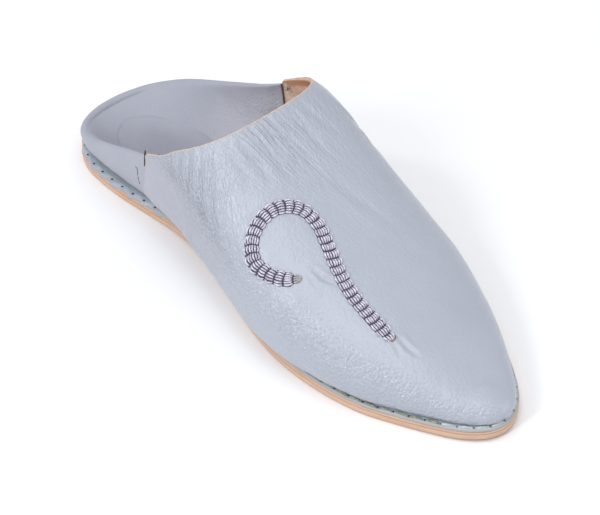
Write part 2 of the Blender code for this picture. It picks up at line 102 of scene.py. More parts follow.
PIT_RADIUS = 0.55 * MM
WELT_REACH = 9.5 * MM  # how far the welt goes in under the upper
SEAM_THREAD = 0.28 * MM  # half the thickness of the dark stitches beside the seam
SEAM_GAP = 0.42 * MM  # half the width of the gap behind the outer ear
LOOP_THREAD = 0.26 * MM
CORD_WIDTH = 6.6 * MM
CORD_RISE = 1.5 * MM
CORD_THREAD = 0.44 * MM  # half the width of one bundle of silk
CORD_GAP = 0.24 * MM  # half the dark gap between two blocks
CORD_BLOCKS = 35
CORD_THREADS = 6
CORD_POINTS = 9  # points of each bundle

# Steps of the meshes
VAMP_COLUMNS = 230
VAMP_ROWS = 170
QUARTER_COLUMNS = 220
QUARTER_ROWS = 40
ROLL_ROWS = 12
SOCK_COLUMNS = 120
SOCK_ROWS = 90
SOLE_COLUMNS = 220
WELT_COLUMNS = 760

OUTER, INNER = -1, 1

# Sole outline. Shares of LENGTH: station from the heel, half width to each side.
OUTLINE = (
    # station, outer side, inner side
    (0.000, 0.0000, 0.0000),
    (0.020, 0.0645, 0.0645),
    (0.050, 0.0943, 0.0943),
    (0.085, 0.1100, 0.1098),
    (0.120, 0.1142, 0.1140),
    (0.180, 0.1128, 0.1120),
    (0.250, 0.1045, 0.1040),
    (0.300, 0.0995, 0.0990),
    (0.340, 0.0990, 0.0980),
    (0.400, 0.1050, 0.1040),
    (0.460, 0.1190, 0.1180),
    (0.530, 0.1410, 0.1370),
    (0.590, 0.1560, 0.1520),
    (0.660, 0.1635, 0.1630),
    (0.720, 0.1605, 0.1650),
    (0.770, 0.1525, 0.1560),
    (0.820, 0.1385, 0.1420),
    (0.870, 0.1150, 0.1220),
    (0.920, 0.0885, 0.0945),
    (0.960, 0.0635, 0.0675),
    (0.985, 0.0395, 0.0415),
    (1.000, 0.0000, 0.0000),
)

# Upper. Shares of LENGTH, FOOT_INSET, SIDE_BULGE twice, INSTEP_HEIGHT, the crown's height, a power.
SECTIONS = (
    # station, foot, outer, inner, crown, widest, square
    (0.000, 0.90, 0.28, 0.28, 0.380, 0.380, 2.66),
    (0.111, 1.00, 0.52, 0.55, 0.686, 0.380, 2.72),
    (0.222, 0.80, 0.72, 0.77, 0.912, 0.380, 2.77),
    (0.315, 0.42, 0.92, 0.95, 0.992, 0.370, 2.82),
    (0.407, 0.32, 1.00, 1.16, 1.000, 0.345, 2.82),
    (0.519, 0.34, 0.68, 0.80, 0.796, 0.290, 2.76),
    (0.630, 0.42, 0.50, 0.42, 0.600, 0.250, 2.66),
    (0.741, 0.54, 0.29, 0.16, 0.444, 0.230, 2.56),
    (0.852, 0.70, 0.14, 0.03, 0.322, 0.240, 2.44),
    (0.926, 0.74, 0.06, 0.02, 0.241, 0.260, 2.30),
    (0.978, 0.60, 0.03, 0.03, 0.201, 0.280, 2.12),
    (1.000, 0.44, 0.02, 0.04, 0.196, 0.300, 2.05),
)

# Thickness of the rolled rim, as shares of LENGTH and of ROLL_THICK
RIM_ROLL = (
    # station, thickness
    (0.000, 1.00),
    (0.090, 0.95),
    (0.180, 0.66),
    (0.260, 0.50),
    (1.000, 0.45),
)

# Middle line of the ornament on the vamp, from its stem on, as shares of LENGTH
HOOK = (
    # station, to the inner side
    (0.8070, -0.0655),
    (0.7600, -0.0665),
    (0.7130, -0.0668),
    (0.6700, -0.0590),
    (0.6300, -0.0465),
    (0.5960, -0.0388),
    (0.5680, -0.0455),
    (0.5490, -0.0690),
    (0.5430, -0.0980),
    (0.5520, -0.1290),
    (0.5760, -0.1450),
    (0.6060, -0.1425),
    (0.6300, -0.1310),
    (0.6480, -0.1117),
)

# Creases of the vamp, a row per crease, in millimetres over the leather: each point is the
# station from the heel and the way down from the crown line, outer side negative.
CREASES = (
    # points, width, depth
    (((119, -3), (127, -4), (137, -3), (150, -1)), 1.9, 0.55),
    (((120, -11), (128, -9), (137, -8), (146, -6)), 1.9, 0.55),
    (((122, 0), (131, 2), (140, 4), (149, 5)), 1.8, 0.45),
    (((121, -18), (129, -17), (138, -16)), 1.8, 0.45),
    (((119, -24), (127, -24), (134, -24)), 1.7, 0.40),
    (((120, 9), (129, 12), (141, 14)), 1.8, 0.45),
    (((119, 17), (126, 20), (135, 24)), 1.7, 0.35),
    (((97, -40), (101, -46), (104, -52), (106, -59)), 1.5, 0.45),
    (((103, -36), (108, -43), (112, -51), (114, -60)), 1.6, 0.55),
    (((109, -33), (114, -40), (119, -48), (123, -57), (126, -66)), 1.7, 0.60),
    (((115, -29), (120, -37), (126, -46), (132, -56), (136, -65)), 1.6, 0.50),
    (((93, -50), (98, -59), (101, -69)), 1.5, 0.35),
    (((219, -15), (224, -15), (229, -14)), 1.1, 0.45),
    (((220, -18), (225, -20)), 0.9, 0.30),
    (((176, -25), (181, -24), (186, -21)), 1.1, 0.45),
    (((176, -28), (182, -29)), 0.9, 0.30),
    (((150, 8), (165, 14), (182, 20)), 2.4, 0.30),
    (((128, 40), (138, 50), (146, 62)), 2.0, 0.50),
    (((118, 30), (127, 42), (133, 56)), 1.8, 0.50),
)

# Dark stitch holes beside the outer seam, on the quarter, painted as shade: station in millimetres, row
SEAM_MARKS = (
    ((70.2, 0.264), (70.3, 0.248)),
    ((70.5, 0.240), (70.6, 0.222)),
    ((70.6, 0.214), (70.4, 0.196)),
    ((70.1, 0.265), (68.7, 0.268)),
)

# Frayed end of the inner seam's thread: station and way down from the rim, in millimetres
KNOT = (
    (86.6, 2.6),
    (87.8, 1.6),
    (89.0, 2.4),
    (88.6, 4.0),
    (87.4, 3.6),
    (88.2, 5.2),
    (90.6, 6.4),
)


def through(stations, values, x):
    """A smooth curve through the rows of a table."""
    stations = np.asarray(stations, float)
    values = np.asarray(values, float)
    slopes = np.gradient(values, stations)
    k = np.clip(np.searchsorted(stations, x, side="right") - 1, 0, len(stations) - 2)
    span = stations[k + 1] - stations[k]
    s = (x - stations[k]) / span
    rise = values[k + 1] - values[k]
    a = slopes[k] * span - rise
    b = rise - slopes[k + 1] * span
    return values[k] + s * rise + s * (1 - s) * ((1 - s) * a + s * b)


def column(table, n):
    return np.array([row[n] for row in table])


def ease(share):
    """A soft step from 0 to 1."""
    share = np.clip(share, 0, 1)
    return share * share * (3 - 2 * share)


def station(v):
    """Distance from the heel at the place v, from the heel (0) to the tip (1)."""
    return LENGTH * (1 - np.cos(np.pi * v)) / 2


def way_round(x):
    return np.arccos(np.clip(1 - 2 * x / LENGTH, -1, 1)) / np.pi


def by_side(side, outer, inner):
    return np.where(np.asarray(side) < 0, outer, inner)


def sole_half(side, v):
    rows = way_round(column(OUTLINE, 0) * LENGTH)
    outer = through(rows, column(OUTLINE, 1) * LENGTH, v)
    inner = through(rows, column(OUTLINE, 2) * LENGTH, v)
    return by_side(side, outer, inner)


def lift(x):
    """How far the sole's underside stands off the floor."""
    waist = np.clip((x / LENGTH - 0.22) / 0.30, 0, 1)
    toe = np.clip((x / LENGTH - 0.80) / 0.20, 0, 1)
    return ARCH_RISE * np.sin(np.pi * waist) ** 2 + TOE_SPRING * toe**2


def section(n, x):
    return through(column(SECTIONS, 0) * LENGTH, column(SECTIONS, n), x)


def crown_station(x):
    toe = np.clip((x / LENGTH - 0.80) / 0.20, 0, 1)
    return np.maximum(x - TOE_FAN * toe**2.5, column(OUTLINE, 0)[4] * LENGTH)


def skin(side, v, t):
    """Point of the upper's outer skin: v from heel to tip, t from the foot (0) to the crown (1)."""
    x = station(v)
    half = sole_half(side, v)
    crown_x = crown_station(x)
    reach = np.hypot(x - crown_x, half)
    along = (x - crown_x) / reach
    across = half / reach
    foot = reach - section(1, x) * FOOT_INSET
    bulge = by_side(side, section(2, x), section(3, x)) * SIDE_BULGE
    crown = section(4, x) * INSTEP_HEIGHT
    widest = FOOT_HEIGHT + (crown - FOOT_HEIGHT) * section(5, x)
    power = 2 / section(6, x)
    low = np.clip(t / LOWER_ROW, 0, 1)
    high = np.clip((t - LOWER_ROW) / (1 - LOWER_ROW), 0, 1)
    out = np.maximum(np.cos(high * np.pi / 2), 0) ** power
    wide = foot + bulge
    side_reach = foot + bulge * np.sin(low * np.pi / 2)
    upper = t >= LOWER_ROW
    reach_x = np.where(upper, along * wide * out**2, along * side_reach)
    reach_y = np.where(upper, across * wide * out, across * side_reach)
    z_low = FOOT_HEIGHT + (widest - FOOT_HEIGHT) * low
    z_high = widest + (crown - widest) * np.sin(high * np.pi / 2) ** power
    z = np.where(upper, z_high, z_low) + lift(x)
    return np.stack([crown_x + reach_x, side * reach_y, z], -1)


def skin_normal(side, v, t):
    dv, dt = 0.004, 0.004
    v0, v1 = np.clip(v - dv, 0, 1), np.clip(v + dv, 0, 1)
    t0, t1 = np.clip(t - dt, 0, 1), np.clip(t + dt, 0, 1)
    round_way = skin(side, v1, t) - skin(side, v0, t)
    up_way = skin(side, v, t1) - skin(side, v, t0)
    normal = np.cross(round_way, up_way) * -np.asarray(side)[..., None]
    return normal / np.linalg.norm(normal, axis=-1, keepdims=True)


def offset_skin(side, v, t, out):
    """The skin moved out along its direction. Its foot stays at one height over the sole."""
    side, v, t, out = np.broadcast_arrays(side, v, t, out)
    middle = (t > 0.999) | (v < 1e-6) | (v > 1 - 1e-6)
    normal = skin_normal(side, v, t)
    normal[..., 1] = np.where(middle, 0, normal[..., 1])
    point = skin(side, v, t) + normal * out[..., None]
    floor = FOOT_HEIGHT + lift(point[..., 0])
    point[..., 2] = np.where(t < 1e-6, floor, np.maximum(point[..., 2], floor))
    point[..., 1] = np.where(middle, 0, point[..., 1])
    return point


def rim_height(x):
    """Height of the opening's edge, a plane that sags a little."""
    share = x / RIM_SPAN
    return RIM_BACK + (RIM_FRONT - RIM_BACK) * share - RIM_SAG * 4 * share * (1 - share)


def over_rim(side, v, t):
    point = skin(side, v, t)
    return point[..., 2] - lift(station(v)) - rim_height(point[..., 0])


def halve(inside, low, high):
    """The place between low and high at which inside stops being true."""
    for _ in range(40):
        middle = (low + high) / 2
        yes = inside(middle)
        low = np.where(yes, middle, low)
        high = np.where(yes, high, middle)
    return (low + high) / 2


def collar_place(side, t):
    start = np.full(np.shape(t), way_round(0.12 * LENGTH))
    stop = np.full(np.shape(t), way_round(0.75 * LENGTH))
    place = halve(lambda v: over_rim(side, v, t) > 0, start, stop)
    worn = bell(t, EAR_ROWS[0] + 0.05, 0.06) * (np.asarray(side) < 0)
    return way_round(station(place) + EAR_DIP * worn)


def rim_row(side, v, under):
    start = np.zeros(np.shape(v))
    stop = np.full(np.shape(v), 0.9)
    return halve(lambda t: over_rim(side, v, t) < -under, start, stop)


def roll_at(x):
    return through(column(RIM_ROLL, 0) * LENGTH, column(RIM_ROLL, 1), x) * ROLL_THICK


def ear_row(side):
    return by_side(side, *EAR_ROWS)


def seam_place(side, share):
    ear = collar_place(side, ear_row(side))
    foot = way_round(SEAM_FOOT)
    return foot + (ear - foot) * (1 - (1 - share) ** 1.6)


def inset_outline(side, v, inset):
    """The sole's outline moved in towards its middle line."""
    x = station(v)
    half = sole_half(side, v)
    crown_x = crown_station(x)
    reach = np.hypot(x - crown_x, half)
    share = (reach - inset) / reach
    return crown_x + (x - crown_x) * share, side * half * share


def vamp_place(x, y):
    """Where on the skin a point seen from above lies."""
    side = by_side(y, OUTER, INNER)
    v, t = way_round(x), np.full(np.shape(x), 0.8)
    for _ in range(8):
        here = skin(side, v, t)
        step_v = skin(side, v + 1e-4, t) - here
        step_t = skin(side, v, t - 1e-4) - here
        ways = np.stack([step_v[..., :2], step_t[..., :2]], -1)
        gap = np.stack([x - here[..., 0], y - here[..., 1]], -1)
        move = np.linalg.solve(ways, gap[..., None])[..., 0] * 1e-4
        v = np.clip(v + move[..., 0], 0.3, 0.999)
        t = np.clip(t - move[..., 1], 0.3, 0.999)
    return side, v, t


def hook_line(count):
    """Evenly spaced points along the ornament's middle line, in plan."""
    points = np.array(HOOK) * LENGTH
    length = np.concatenate([[0], np.cumsum(np.hypot(*np.diff(points, axis=0).T))])
    fine = np.linspace(0, length[-1], 301)
    x, y = through(length, points[:, 0], fine), through(length, points[:, 1], fine)
    solid = skin(*vamp_place(x, y))
    run = np.concatenate([[0], np.cumsum(np.linalg.norm(np.diff(solid, axis=0), axis=1))])
    share = np.interp(np.linspace(0, run[-1], count + 1), run, fine)
    return through(length, points[:, 0], share), through(length, points[:, 1], share)


def uneven(x, y, seed):
    """Low waves of hand-worked leather, from -1 to 1, over places in metres."""
    total = 0
    for n, (reach, tilt) in enumerate(((31, 0.4), (19, 1.7), (12.5, 2.9), (8.3, 4.3))):
        turn = tilt + seed * (n + 1.3)
        way = (x * math.cos(turn) + y * math.sin(turn)) / (reach * MM)
        total = total + np.sin(2 * np.pi * way + 3 * seed * n) * reach / 71
    return total


# Meshes


def laid_sheet(points, marks=None, measures=None):
    """A grid whose corners are put at the points, an array of columns by rows."""
    columns, rows = points.shape[0] - 1, points.shape[1] - 1
    mesh = bmesh.new()
    bmesh.ops.create_grid(mesh, x_segments=columns, y_segments=rows, size=0.5)
    layers = {name: mesh.verts.layers.float.new(name) for name in marks or {}}
    places = {}
    for vert in mesh.verts:
        i = round((vert.co.x + 0.5) * columns)
        j = round((vert.co.y + 0.5) * rows)
        places[vert] = (i, j)
    for vert, (i, j) in places.items():
        vert.co = points[i, j]
        for name, layer in layers.items():
            vert[layer] = marks[name][i, j]
    if measures is not None:
        layer = mesh.loops.layers.uv.new("leather")
        for face in mesh.faces:
            for loop in face.loops:
                loop[layer].uv = measures[places[loop.vert]]
    return mesh


def to_frame(points):
    return points - np.array([BOX_MIDDLE_X, BOX_MIDDLE_Y, 0])


def shown(obj):
    bpy.context.scene.collection.objects.link(obj)
    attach(obj, "root")
    return obj


def finished(mesh, name, slot, *materials):
    """The mesh with its doubles merged and its faces outwards, as a piece of the shoe."""
    bmesh.ops.remove_doubles(mesh, verts=mesh.verts, dist=2e-6)
    bmesh.ops.dissolve_degenerate(mesh, edges=mesh.edges, dist=1e-7)
    bmesh.ops.recalc_face_normals(mesh, faces=mesh.faces)
    data = bpy.data.meshes.new(name)
    mesh.to_mesh(data)
    mesh.free()
    for material in materials:
        data.materials.append(material)
    data.shade_smooth()
    return shown(bpy.data.objects.new(name, data))


def threads(name, material, paths, radius, end=1.0):
    """Round threads along the paths, each an array of points. Their ends have a share of the radius."""
    curve = bpy.data.curves.new(name + "_line", "CURVE")
    curve.dimensions = "3D"
    curve.bevel_depth = radius
    curve.bevel_resolution = 2
    curve.use_fill_caps = True
    for path in paths:
        spline = curve.splines.new("POLY")
        spline.points.add(len(path) - 1)
        swell = np.sin(np.pi * np.linspace(0, 1, len(path))) ** 0.6
        for point, place, share in zip(spline.points, path, swell):
            point.co = (*place, 1)
            point.radius = end + (1 - end) * share
    line = bpy.data.objects.new(name + "_line", curve)
    data = bpy.data.meshes.new_from_object(line)
    bpy.data.objects.remove(line)
    data.name = name
    data.materials.clear()
    data.materials.append(material)
    data.shade_smooth()
    return shown(bpy.data.objects.new(name, data))


def girth(points, middle):
    """Distance over the surface from the middle row of each column."""
    steps = np.linalg.norm(np.diff(points, axis=1), axis=-1)
    run = np.concatenate([np.zeros((len(points), 1)), np.cumsum(steps, axis=1)], axis=1)
    return run - run[:, middle : middle + 1]


def from_line(x, y, corners):
    """Distance of places from a line of several corners, and how far along it they lie (0 to 1)."""
    best, share = np.full(np.shape(x), 1.0), np.zeros(np.shape(x))
    count = len(corners) - 1
    for n in range(count):
        (x0, y0), (x1, y1) = corners[n], corners[n + 1]
        dx, dy = x1 - x0, y1 - y0
        s = np.clip(((x - x0) * dx + (y - y0) * dy) / (dx * dx + dy * dy), 0, 1)
        away = np.hypot(x - x0 - s * dx, y - y0 - s * dy)
        share = np.where(away < best, (n + s) / count, share)
        best = np.minimum(best, away)
    return best, share


def creased(x, down):
    """How far the leather sinks (negative) or swells at a place, from the table of creases."""
    total = np.zeros(np.shape(x))
    for corners, width, depth in CREASES:
        line = np.array(corners) * MM
        away, share = from_line(x, down, line)
        fade = np.sin(np.pi * np.clip(0.08 + 0.84 * share, 0, 1)) ** 0.7
        near = away / (width * MM)
        total += depth * MM * fade * (0.55 * np.exp(-((near - 1.9) ** 2)) - np.exp(-(near**2)))
    return total


def vamp_grid():
    b = np.linspace(-1, 1, VAMP_ROWS + 1)
    side = by_side(b, OUTER, INNER)
    t = 1 - np.abs(b)
    ear = ear_row(side)
    seam = seam_place(side, np.clip(t / ear, 0, 1))
    collar = collar_place(side, np.maximum(t, ear))
    back = np.where(t < ear, seam, collar)
    share = np.linspace(0, 1, VAMP_COLUMNS + 1)[:, None] ** 1.3
    return side, back + (1 - back) * share, t


def build_vamp(leather, suede, raw_edge, pale):
    side, v, t = vamp_grid()
    flat = offset_skin(side, v, t, VAMP_STEP)
    down = girth(flat, VAMP_ROWS // 2)
    x = flat[..., 0]
    behind = np.linalg.norm(flat - flat[:1], axis=-1)
    ear = ear_row(side)
    up = (ear - t) / ear * np.ones_like(v)
    ear_run = np.linalg.norm(flat[0] - flat[0, np.argmin(np.abs(t - ear) + (side > 0))], axis=-1)
    seam_part = (t < ear) * np.ones_like(v)
    gape = ease(1 - ear_run / SLIT_LENGTH) * seam_part
    near_seam = ease(1 - behind / SKIVE_REACH) * seam_part
    closed = near_seam * (1 - gape) * ease(up * 6)
    out = VAMP_STEP - SKIVE_DROP * closed
    out += SLIT_LIFT * gape * ease(1 - behind / SLIT_REACH)
    tip = ease((1 - v) / 0.05)
    out += (creased(x, down) + SKIN_WAVES * uneven(x, down, 0.7)) * tip
    out += INNER_SWELL * bell(x, 120 * MM, 42 * MM) * bell(down, 45 * MM, 36 * MM)
    height = flat[..., 2] - FOOT_HEIGHT - lift(x)
    fore = ease((x / LENGTH - 0.42) / 0.16)
    out -= FOOT_TUCK * (1 - 0.55 * fore) * np.exp(-height / FOOT_CURL)
    points = offset_skin(side, v, t, out)
    points[-1] = (points[-1] + points[-1, ::-1]) / 2
    rimward = np.clip(1 - behind / CUT_BAND, 0, 1) * (t >= ear)
    build_edge_bead(points, side, v, t, pale)
    sheet = laid_sheet(
        to_frame(points),
        marks={
            "fold": fold_mark(x, down) * tip,
            "pebble": pebble_mark(x, down),
            "rimward": rimward,
            "side_fold": side_folds(x, down) * tip,
            "throat_fold": throat_folds(x, down) * tip,
            "low_shade_mark": low_side_shade(x, down),
            "thick": thickness_mark(x),
        },
        measures=np.stack([x, down], -1),
    )
    vamp = finished(sheet, "vamp", "upper_leather", leather, suede, raw_edge)
    face_up(vamp)
    group = vamp.vertex_groups.new(name="thick")
    marks = vamp.data.attributes["thick"].data
    for n, mark in enumerate(marks):
        group.add([n], mark.value, "REPLACE")
    wall = vamp.modifiers.new("wall", "SOLIDIFY")
    wall.thickness = VAMP_THICK
    wall.offset = -1
    wall.vertex_group = "thick"
    wall.material_offset = 1
    wall.material_offset_rim = 2
    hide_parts("upper")
    return vamp


def build_edge_bead(points, side, v, t, pale):
    """The pale cut edge of the leather, a thin bead round the opening from ear to ear."""
    edge, away = points[0], points[0] - points[1]
    away /= np.linalg.norm(away, axis=-1, keepdims=True)
    normal = skin_normal(side, v[0], t)
    line = edge - normal * 0.55 * EDGE_BEAD - away * 0.4 * EDGE_BEAD
    rows = t > ear_row(side) - 0.055
    threads("collar_edge", pale, [to_frame(line[rows])], EDGE_BEAD, 0.6)


def on_quarter(places, out):
    """Points over the quarter's outer skin, from stations in millimetres and rows."""
    places = np.array(places)
    side = np.full(len(places), OUTER)
    return to_frame(offset_skin(side, way_round(places[:, 0] * MM), places[:, 1], out))


def build_seam_marks(brown, dark):
    """Painted shade: a dark brown thread in the gap behind the outer ear, and dark stitch marks beside the
    seam.
    """
    share = np.linspace(0.995, 0.78, 14)
    side = np.full(len(share), OUTER)
    edge = station(seam_place(side, np.minimum(share, 1))) / MM
    gap = np.stack([edge - 1.5 - 1.4 * ease((share - 0.78) / 0.22), share * EAR_ROWS[0]], -1)
    threads("seam_gap", brown, [on_quarter(gap, -0.05 * MM)], SEAM_GAP, 0.6)
    marks = [on_quarter(mark, 0.03 * MM) for mark in SEAM_MARKS]
    threads("seam_stitches", dark, marks, SEAM_THREAD, 0.6)


def build_seam_knot(pale):
    """The frayed end of the inner seam's thread, by the flap's front corner."""
    corners = np.array(KNOT)
    side = np.full(len(corners), INNER)
    v = way_round(corners[:, 0] * MM)
    t = rim_row(side, v, corners[:, 1] * MM)
    fine = np.linspace(0, len(corners) - 1, 25)
    line = offset_skin(side, v, t, np.full(len(corners), -0.5 * MM))
    path = np.stack([through(np.arange(len(corners)), line[:, n], fine) for n in range(3)], -1)
    threads("seam_knot", pale, [to_frame(path)], SEAM_GAP, 0.5)


def thickness_mark(x):
    thin = VAMP_THICK_SEAM / VAMP_THICK
    return thin + (1 - thin) * ease((x - 88 * MM) / (12 * MM))


def bell(value, middle, width):
    return np.exp(-(((value - middle) / width) ** 2))


def fold_mark(x, down):
    """Where the leather is finely wrinkled all over: round the opening and down the outer side."""
    collar = bell(x, 128 * MM, 26 * MM)
    side = bell(x, 118 * MM, 30 * MM) * bell(down, -58 * MM, 30 * MM)
    inner = bell(x, 125 * MM, 28 * MM) * bell(down, 55 * MM, 35 * MM)
    return np.clip(0.06 + 0.30 * collar + 0.3 * side + 0.3 * inner, 0, 1)


def side_folds(x, down):
    """Where long wrinkles run down the outer side from the opening."""
    return bell(x, 112 * MM, 20 * MM) * bell(down, -50 * MM, 22 * MM)


def throat_folds(x, down):
    """Where long wrinkles run from the opening towards the toe."""
    near = bell(x, 126 * MM, 18 * MM) * bell(down, -4 * MM, 26 * MM)
    return np.clip(near + 0.35 * bell(x, 165 * MM, 35 * MM) * bell(down, 22 * MM, 26 * MM), 0, 1)


def low_side_shade(x, down):
    """Where the outer side is painted a little darker, low at the waist: painted shade."""
    return bell(x, 92 * MM, 42 * MM) * ease((-down - 40 * MM) / (30 * MM))


def pebble_mark(x, down):
    """Where the grain stands up and shines: along the outer shoulder."""
    line = through(np.array([0.09, 0.14, 0.19, 0.24, 0.27]), np.array([-58, -60, -50, -34, -20]) * MM, x)
    return np.clip(0.2 + bell(down, line, 11 * MM), 0, 1)


def face_up(obj):
    """Turns the faces over if the one nearest the crown's middle looks down."""
    top = max(obj.data.polygons, key=lambda face: face.center.z)
    if top.normal.z < 0:
        obj.data.flip_normals()


def quarter_profile(side, v):
    """Points of the quarter's section at v: up its outer skin, over the roll, down its lining."""
    x = station(v)
    inside = ease((x - 66 * MM) / (6 * MM))
    front = np.clip((FLAP_FRONT - x) / (8 * MM), 0, 1)
    roll = roll_at(x) * (0.55 + 0.45 * front)
    wall = FLAP_EDGE + (WALL - FLAP_EDGE) * front
    sunk = REAR_DIP * bell(x, 74 * MM, 15 * MM) * (side < 0)
    t_end = rim_row(side, v, roll / 2 + 0.35 * MM * inside + sunk)
    rows = np.linspace(0, 1, QUARTER_ROWS + 1)
    t = rows * t_end[:, None]
    depth = np.maximum(roll, wall)[:, None]
    v_grid = v[:, None] * np.ones_like(t)
    side_grid = side[:, None] * np.ones_like(t)
    bare = offset_skin(side_grid, v_grid, t, 0 * t)
    swell = QUARTER_SWELL * np.sin(np.pi * rows) ** 1.5 * np.clip(1 - x / (60 * MM), 0, 1)[:, None]
    outer_out = swell + 0.12 * MM * uneven(bare[..., 0] + bare[..., 1], bare[..., 2], 1.9)
    height = bare[..., 2] - FOOT_HEIGHT - lift(bare[..., 0])
    outer_out = (outer_out - QUARTER_CURL * np.exp(-height / FOOT_CURL)) * (1 - inside)[:, None]
    outer = offset_skin(side_grid, v_grid, t, outer_out)
    lining = offset_skin(side_grid, v_grid, t, -depth)
    return outer, lining, t_end


def half_round(outer, lining, up):
    """Rows of the half round from the skin's last row over to the lining's."""
    middle = (outer + lining) / 2
    arm = outer - middle
    reach = np.linalg.norm(arm, axis=-1, keepdims=True)
    up = up - arm * np.sum(up * arm, -1, keepdims=True) / reach**2
    up = up / np.linalg.norm(up, axis=-1, keepdims=True) * reach
    turns = np.pi * np.arange(1, ROLL_ROWS) / ROLL_ROWS
    return np.stack([middle + arm * np.cos(a) + up * np.sin(a) for a in turns], 1)


def build_quarter(leather):
    places = np.linspace(-1, 1, QUARTER_COLUMNS + 1)
    side = by_side(places, OUTER, INNER)
    v = np.abs(places) * way_round(FLAP_FRONT)
    outer, lining, top = quarter_profile(side, v)
    over = half_round(outer[:, -1], lining[:, -1], outer[:, -1] - outer[:, -2])
    rim = (side[:, None], v[:, None], top[:, None])
    over[:, ROLL_ROWS // 2 :] = leaned(over[:, ROLL_ROWS // 2 :], *rim)
    lining = leaned(lining, *rim)
    middle = np.abs(v) < 1e-9
    over[middle, :, 1] = 0
    ring = np.concatenate([outer, over, lining[:, ::-1], outer[:, :1]], 1)
    mirrored = ring_middle(outer, over, lining)
    first, last = front_edge(ring, mirrored, 0, 1), front_edge(ring, mirrored, -1, -2)
    ring = np.concatenate([first[::-1], ring, last], 0)
    lined = np.zeros(ring.shape[:2])
    start = QUARTER_ROWS + 1
    over_share = np.arange(1, ROLL_ROWS) / ROLL_ROWS
    lined[:, start : start + ROLL_ROWS - 1] = ease((over_share - 0.40) / 0.60)
    # Down the lining's walls, and more towards the waist, the mark rises from 1 to 2: painted light, a
    # lighter tone on the walls.
    deeper = np.arange(QUARTER_ROWS + 1) / (0.25 * QUARTER_ROWS)
    waist = ease((ring[:, :1, 0] - 35 * MM) / (40 * MM))
    lined[:, start + ROLL_ROWS - 1 : -1] = 1 + ease(deeper) * waist
    raw = np.zeros(ring.shape[:2])
    raw[:2] = raw[-2:] = 1
    x = ring[..., 0]
    along = np.cumsum(np.linalg.norm(np.diff(ring, axis=0, prepend=ring[:1]), axis=-1), axis=0)
    fold = 0.1 + 0.6 * np.clip(lined - 1, 0, 1)
    sheet = laid_sheet(
        to_frame(ring),
        marks={"lined": lined, "raw": raw, "fold": fold, "pebble": 0.1 + 0 * x},
        measures=np.stack([along, girth(ring, QUARTER_ROWS)], -1),
    )
    return finished(sheet, "quarter", "upper_leather", leather)


def leaned(points, side, v, t):
    """Points of the lining moved in, level: the further under the rim, the further in."""
    x = station(v)
    under = (rim_height(x) + lift(x) - points[..., 2]) / (rim_height(x) - FOOT_HEIGHT)
    reach = BOWL_LEAN * np.clip(1 - x / (0.30 * LENGTH), 0, 1) ** 0.7
    level = skin_normal(side, v, t)[..., :2]
    level = level / np.linalg.norm(level, axis=-1, keepdims=True)
    moved = points.copy()
    moved[..., :2] -= level * (reach * np.clip(under, 0, 1) ** 0.8)[..., None]
    moved[..., 1] = np.where(v < 1e-6, 0, moved[..., 1])
    return moved


def ring_middle(outer, over, lining):
    """The points half way between the skin and the lining, in the order of the section's rows."""
    half = (outer + lining) / 2
    top = np.repeat(half[:, -1:], over.shape[1], axis=1)
    top += (over - top) * 0.6
    return np.concatenate([half, top, half[:, ::-1], half[:, :1]], 1)


def front_edge(ring, middle, end, before):
    """Two rows that close the flap's front edge, slightly rounded."""
    ahead = ring[end] - ring[before]
    ahead = ahead / np.linalg.norm(ahead, axis=-1, keepdims=True)
    corner = ring[end] * 0.72 + middle[end] * 0.28 + ahead * 0.25 * MM
    return np.stack([corner, middle[end] + ahead * 0.35 * MM])


def lining_depth(x):
    """From the outer skin to the lining: the roll at the heel, then the bare wall."""
    forward = ease((x / LENGTH - 0.26) / 0.10)
    return np.maximum(roll_at(x), WALL) - VAMP_STEP * forward


def sock_edge(side, v):
    """The sock's edge where it rises to the lining."""
    x = station(v)
    back = 1 - ease((x - 42 * MM) / (36 * MM))
    wall = 0.42 * (rim_height(np.minimum(x, RIM_SPAN)) - FOOT_HEIGHT)
    rise = np.minimum(wall, BOWL_RISE) * back + 0.4 * MM
    fore = ease((x / LENGTH - 0.45) / 0.10)
    out = 0.1 * MM - lining_depth(x) - 1.7 * MM * fore
    low, high = np.zeros(len(v)), np.full(len(v), 0.35)
    sill = FOOT_HEIGHT + rise + lift(x)
    t = halve(lambda t: offset_skin(side, v, t, out)[..., 2] < sill, low, high)
    return leaned(offset_skin(side, v, t, out), side, v, t)


def build_sock(leather):
    v = np.linspace(0, 1, SOCK_COLUMNS + 1)
    across = np.linspace(-1, 1, SOCK_ROWS + 1)
    across = np.sign(across) * np.abs(across) ** 0.6
    x = station(v)
    centre = crown_station(x)
    base = SOLE_THICK + FIT_GAP
    back = 1 - ease((x - 30 * MM) / (36 * MM))
    rows, paler = [], []
    for b in across:
        side = np.full(len(v), OUTER if b < 0 else INNER)
        edge = sock_edge(side, v)
        share = abs(b)
        px = centre + (edge[:, 0] - centre) * share
        py = edge[:, 1] * share
        floor = base + INSOLE_THICK + lift(px)
        high = np.maximum(edge[:, 2], floor)
        dent = 0.25 * MM * uneven(px, py, 3.1) * (1 - share**4)
        from_edge = (1 - share) * np.hypot(edge[:, 0] - centre, edge[:, 1])
        turn = np.clip(1 - from_edge / BOWL_FILLET, 0, 1)
        rows.append(np.stack([px, py, floor + (high - floor) * turn**3 + dent], -1))
        paler.append(turn * back)
    top = np.stack(rows, 1)
    top[[0, -1]] = (top[[0, -1]] + top[[0, -1], ::-1]) / 2
    under = top[:, [-1, 0]].copy()
    under[..., 2] = base + lift(under[..., 0])
    ring = np.concatenate([top, under, top[:, :1]], 1)
    ends = ring[:, :, 0]
    tone = np.stack(paler + [0 * v, 0 * v, paler[0]], 1)
    sheet = laid_sheet(
        to_frame(ring),
        marks={"lined": tone, "raw": 0 * ends, "fold": 0.3 + 0 * ends, "pebble": 0 * ends},
        measures=ring[..., :2],
    )
    sock = finished(sheet, "insole_sock", "sock_leather", leather)
    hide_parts("insole")
    return sock


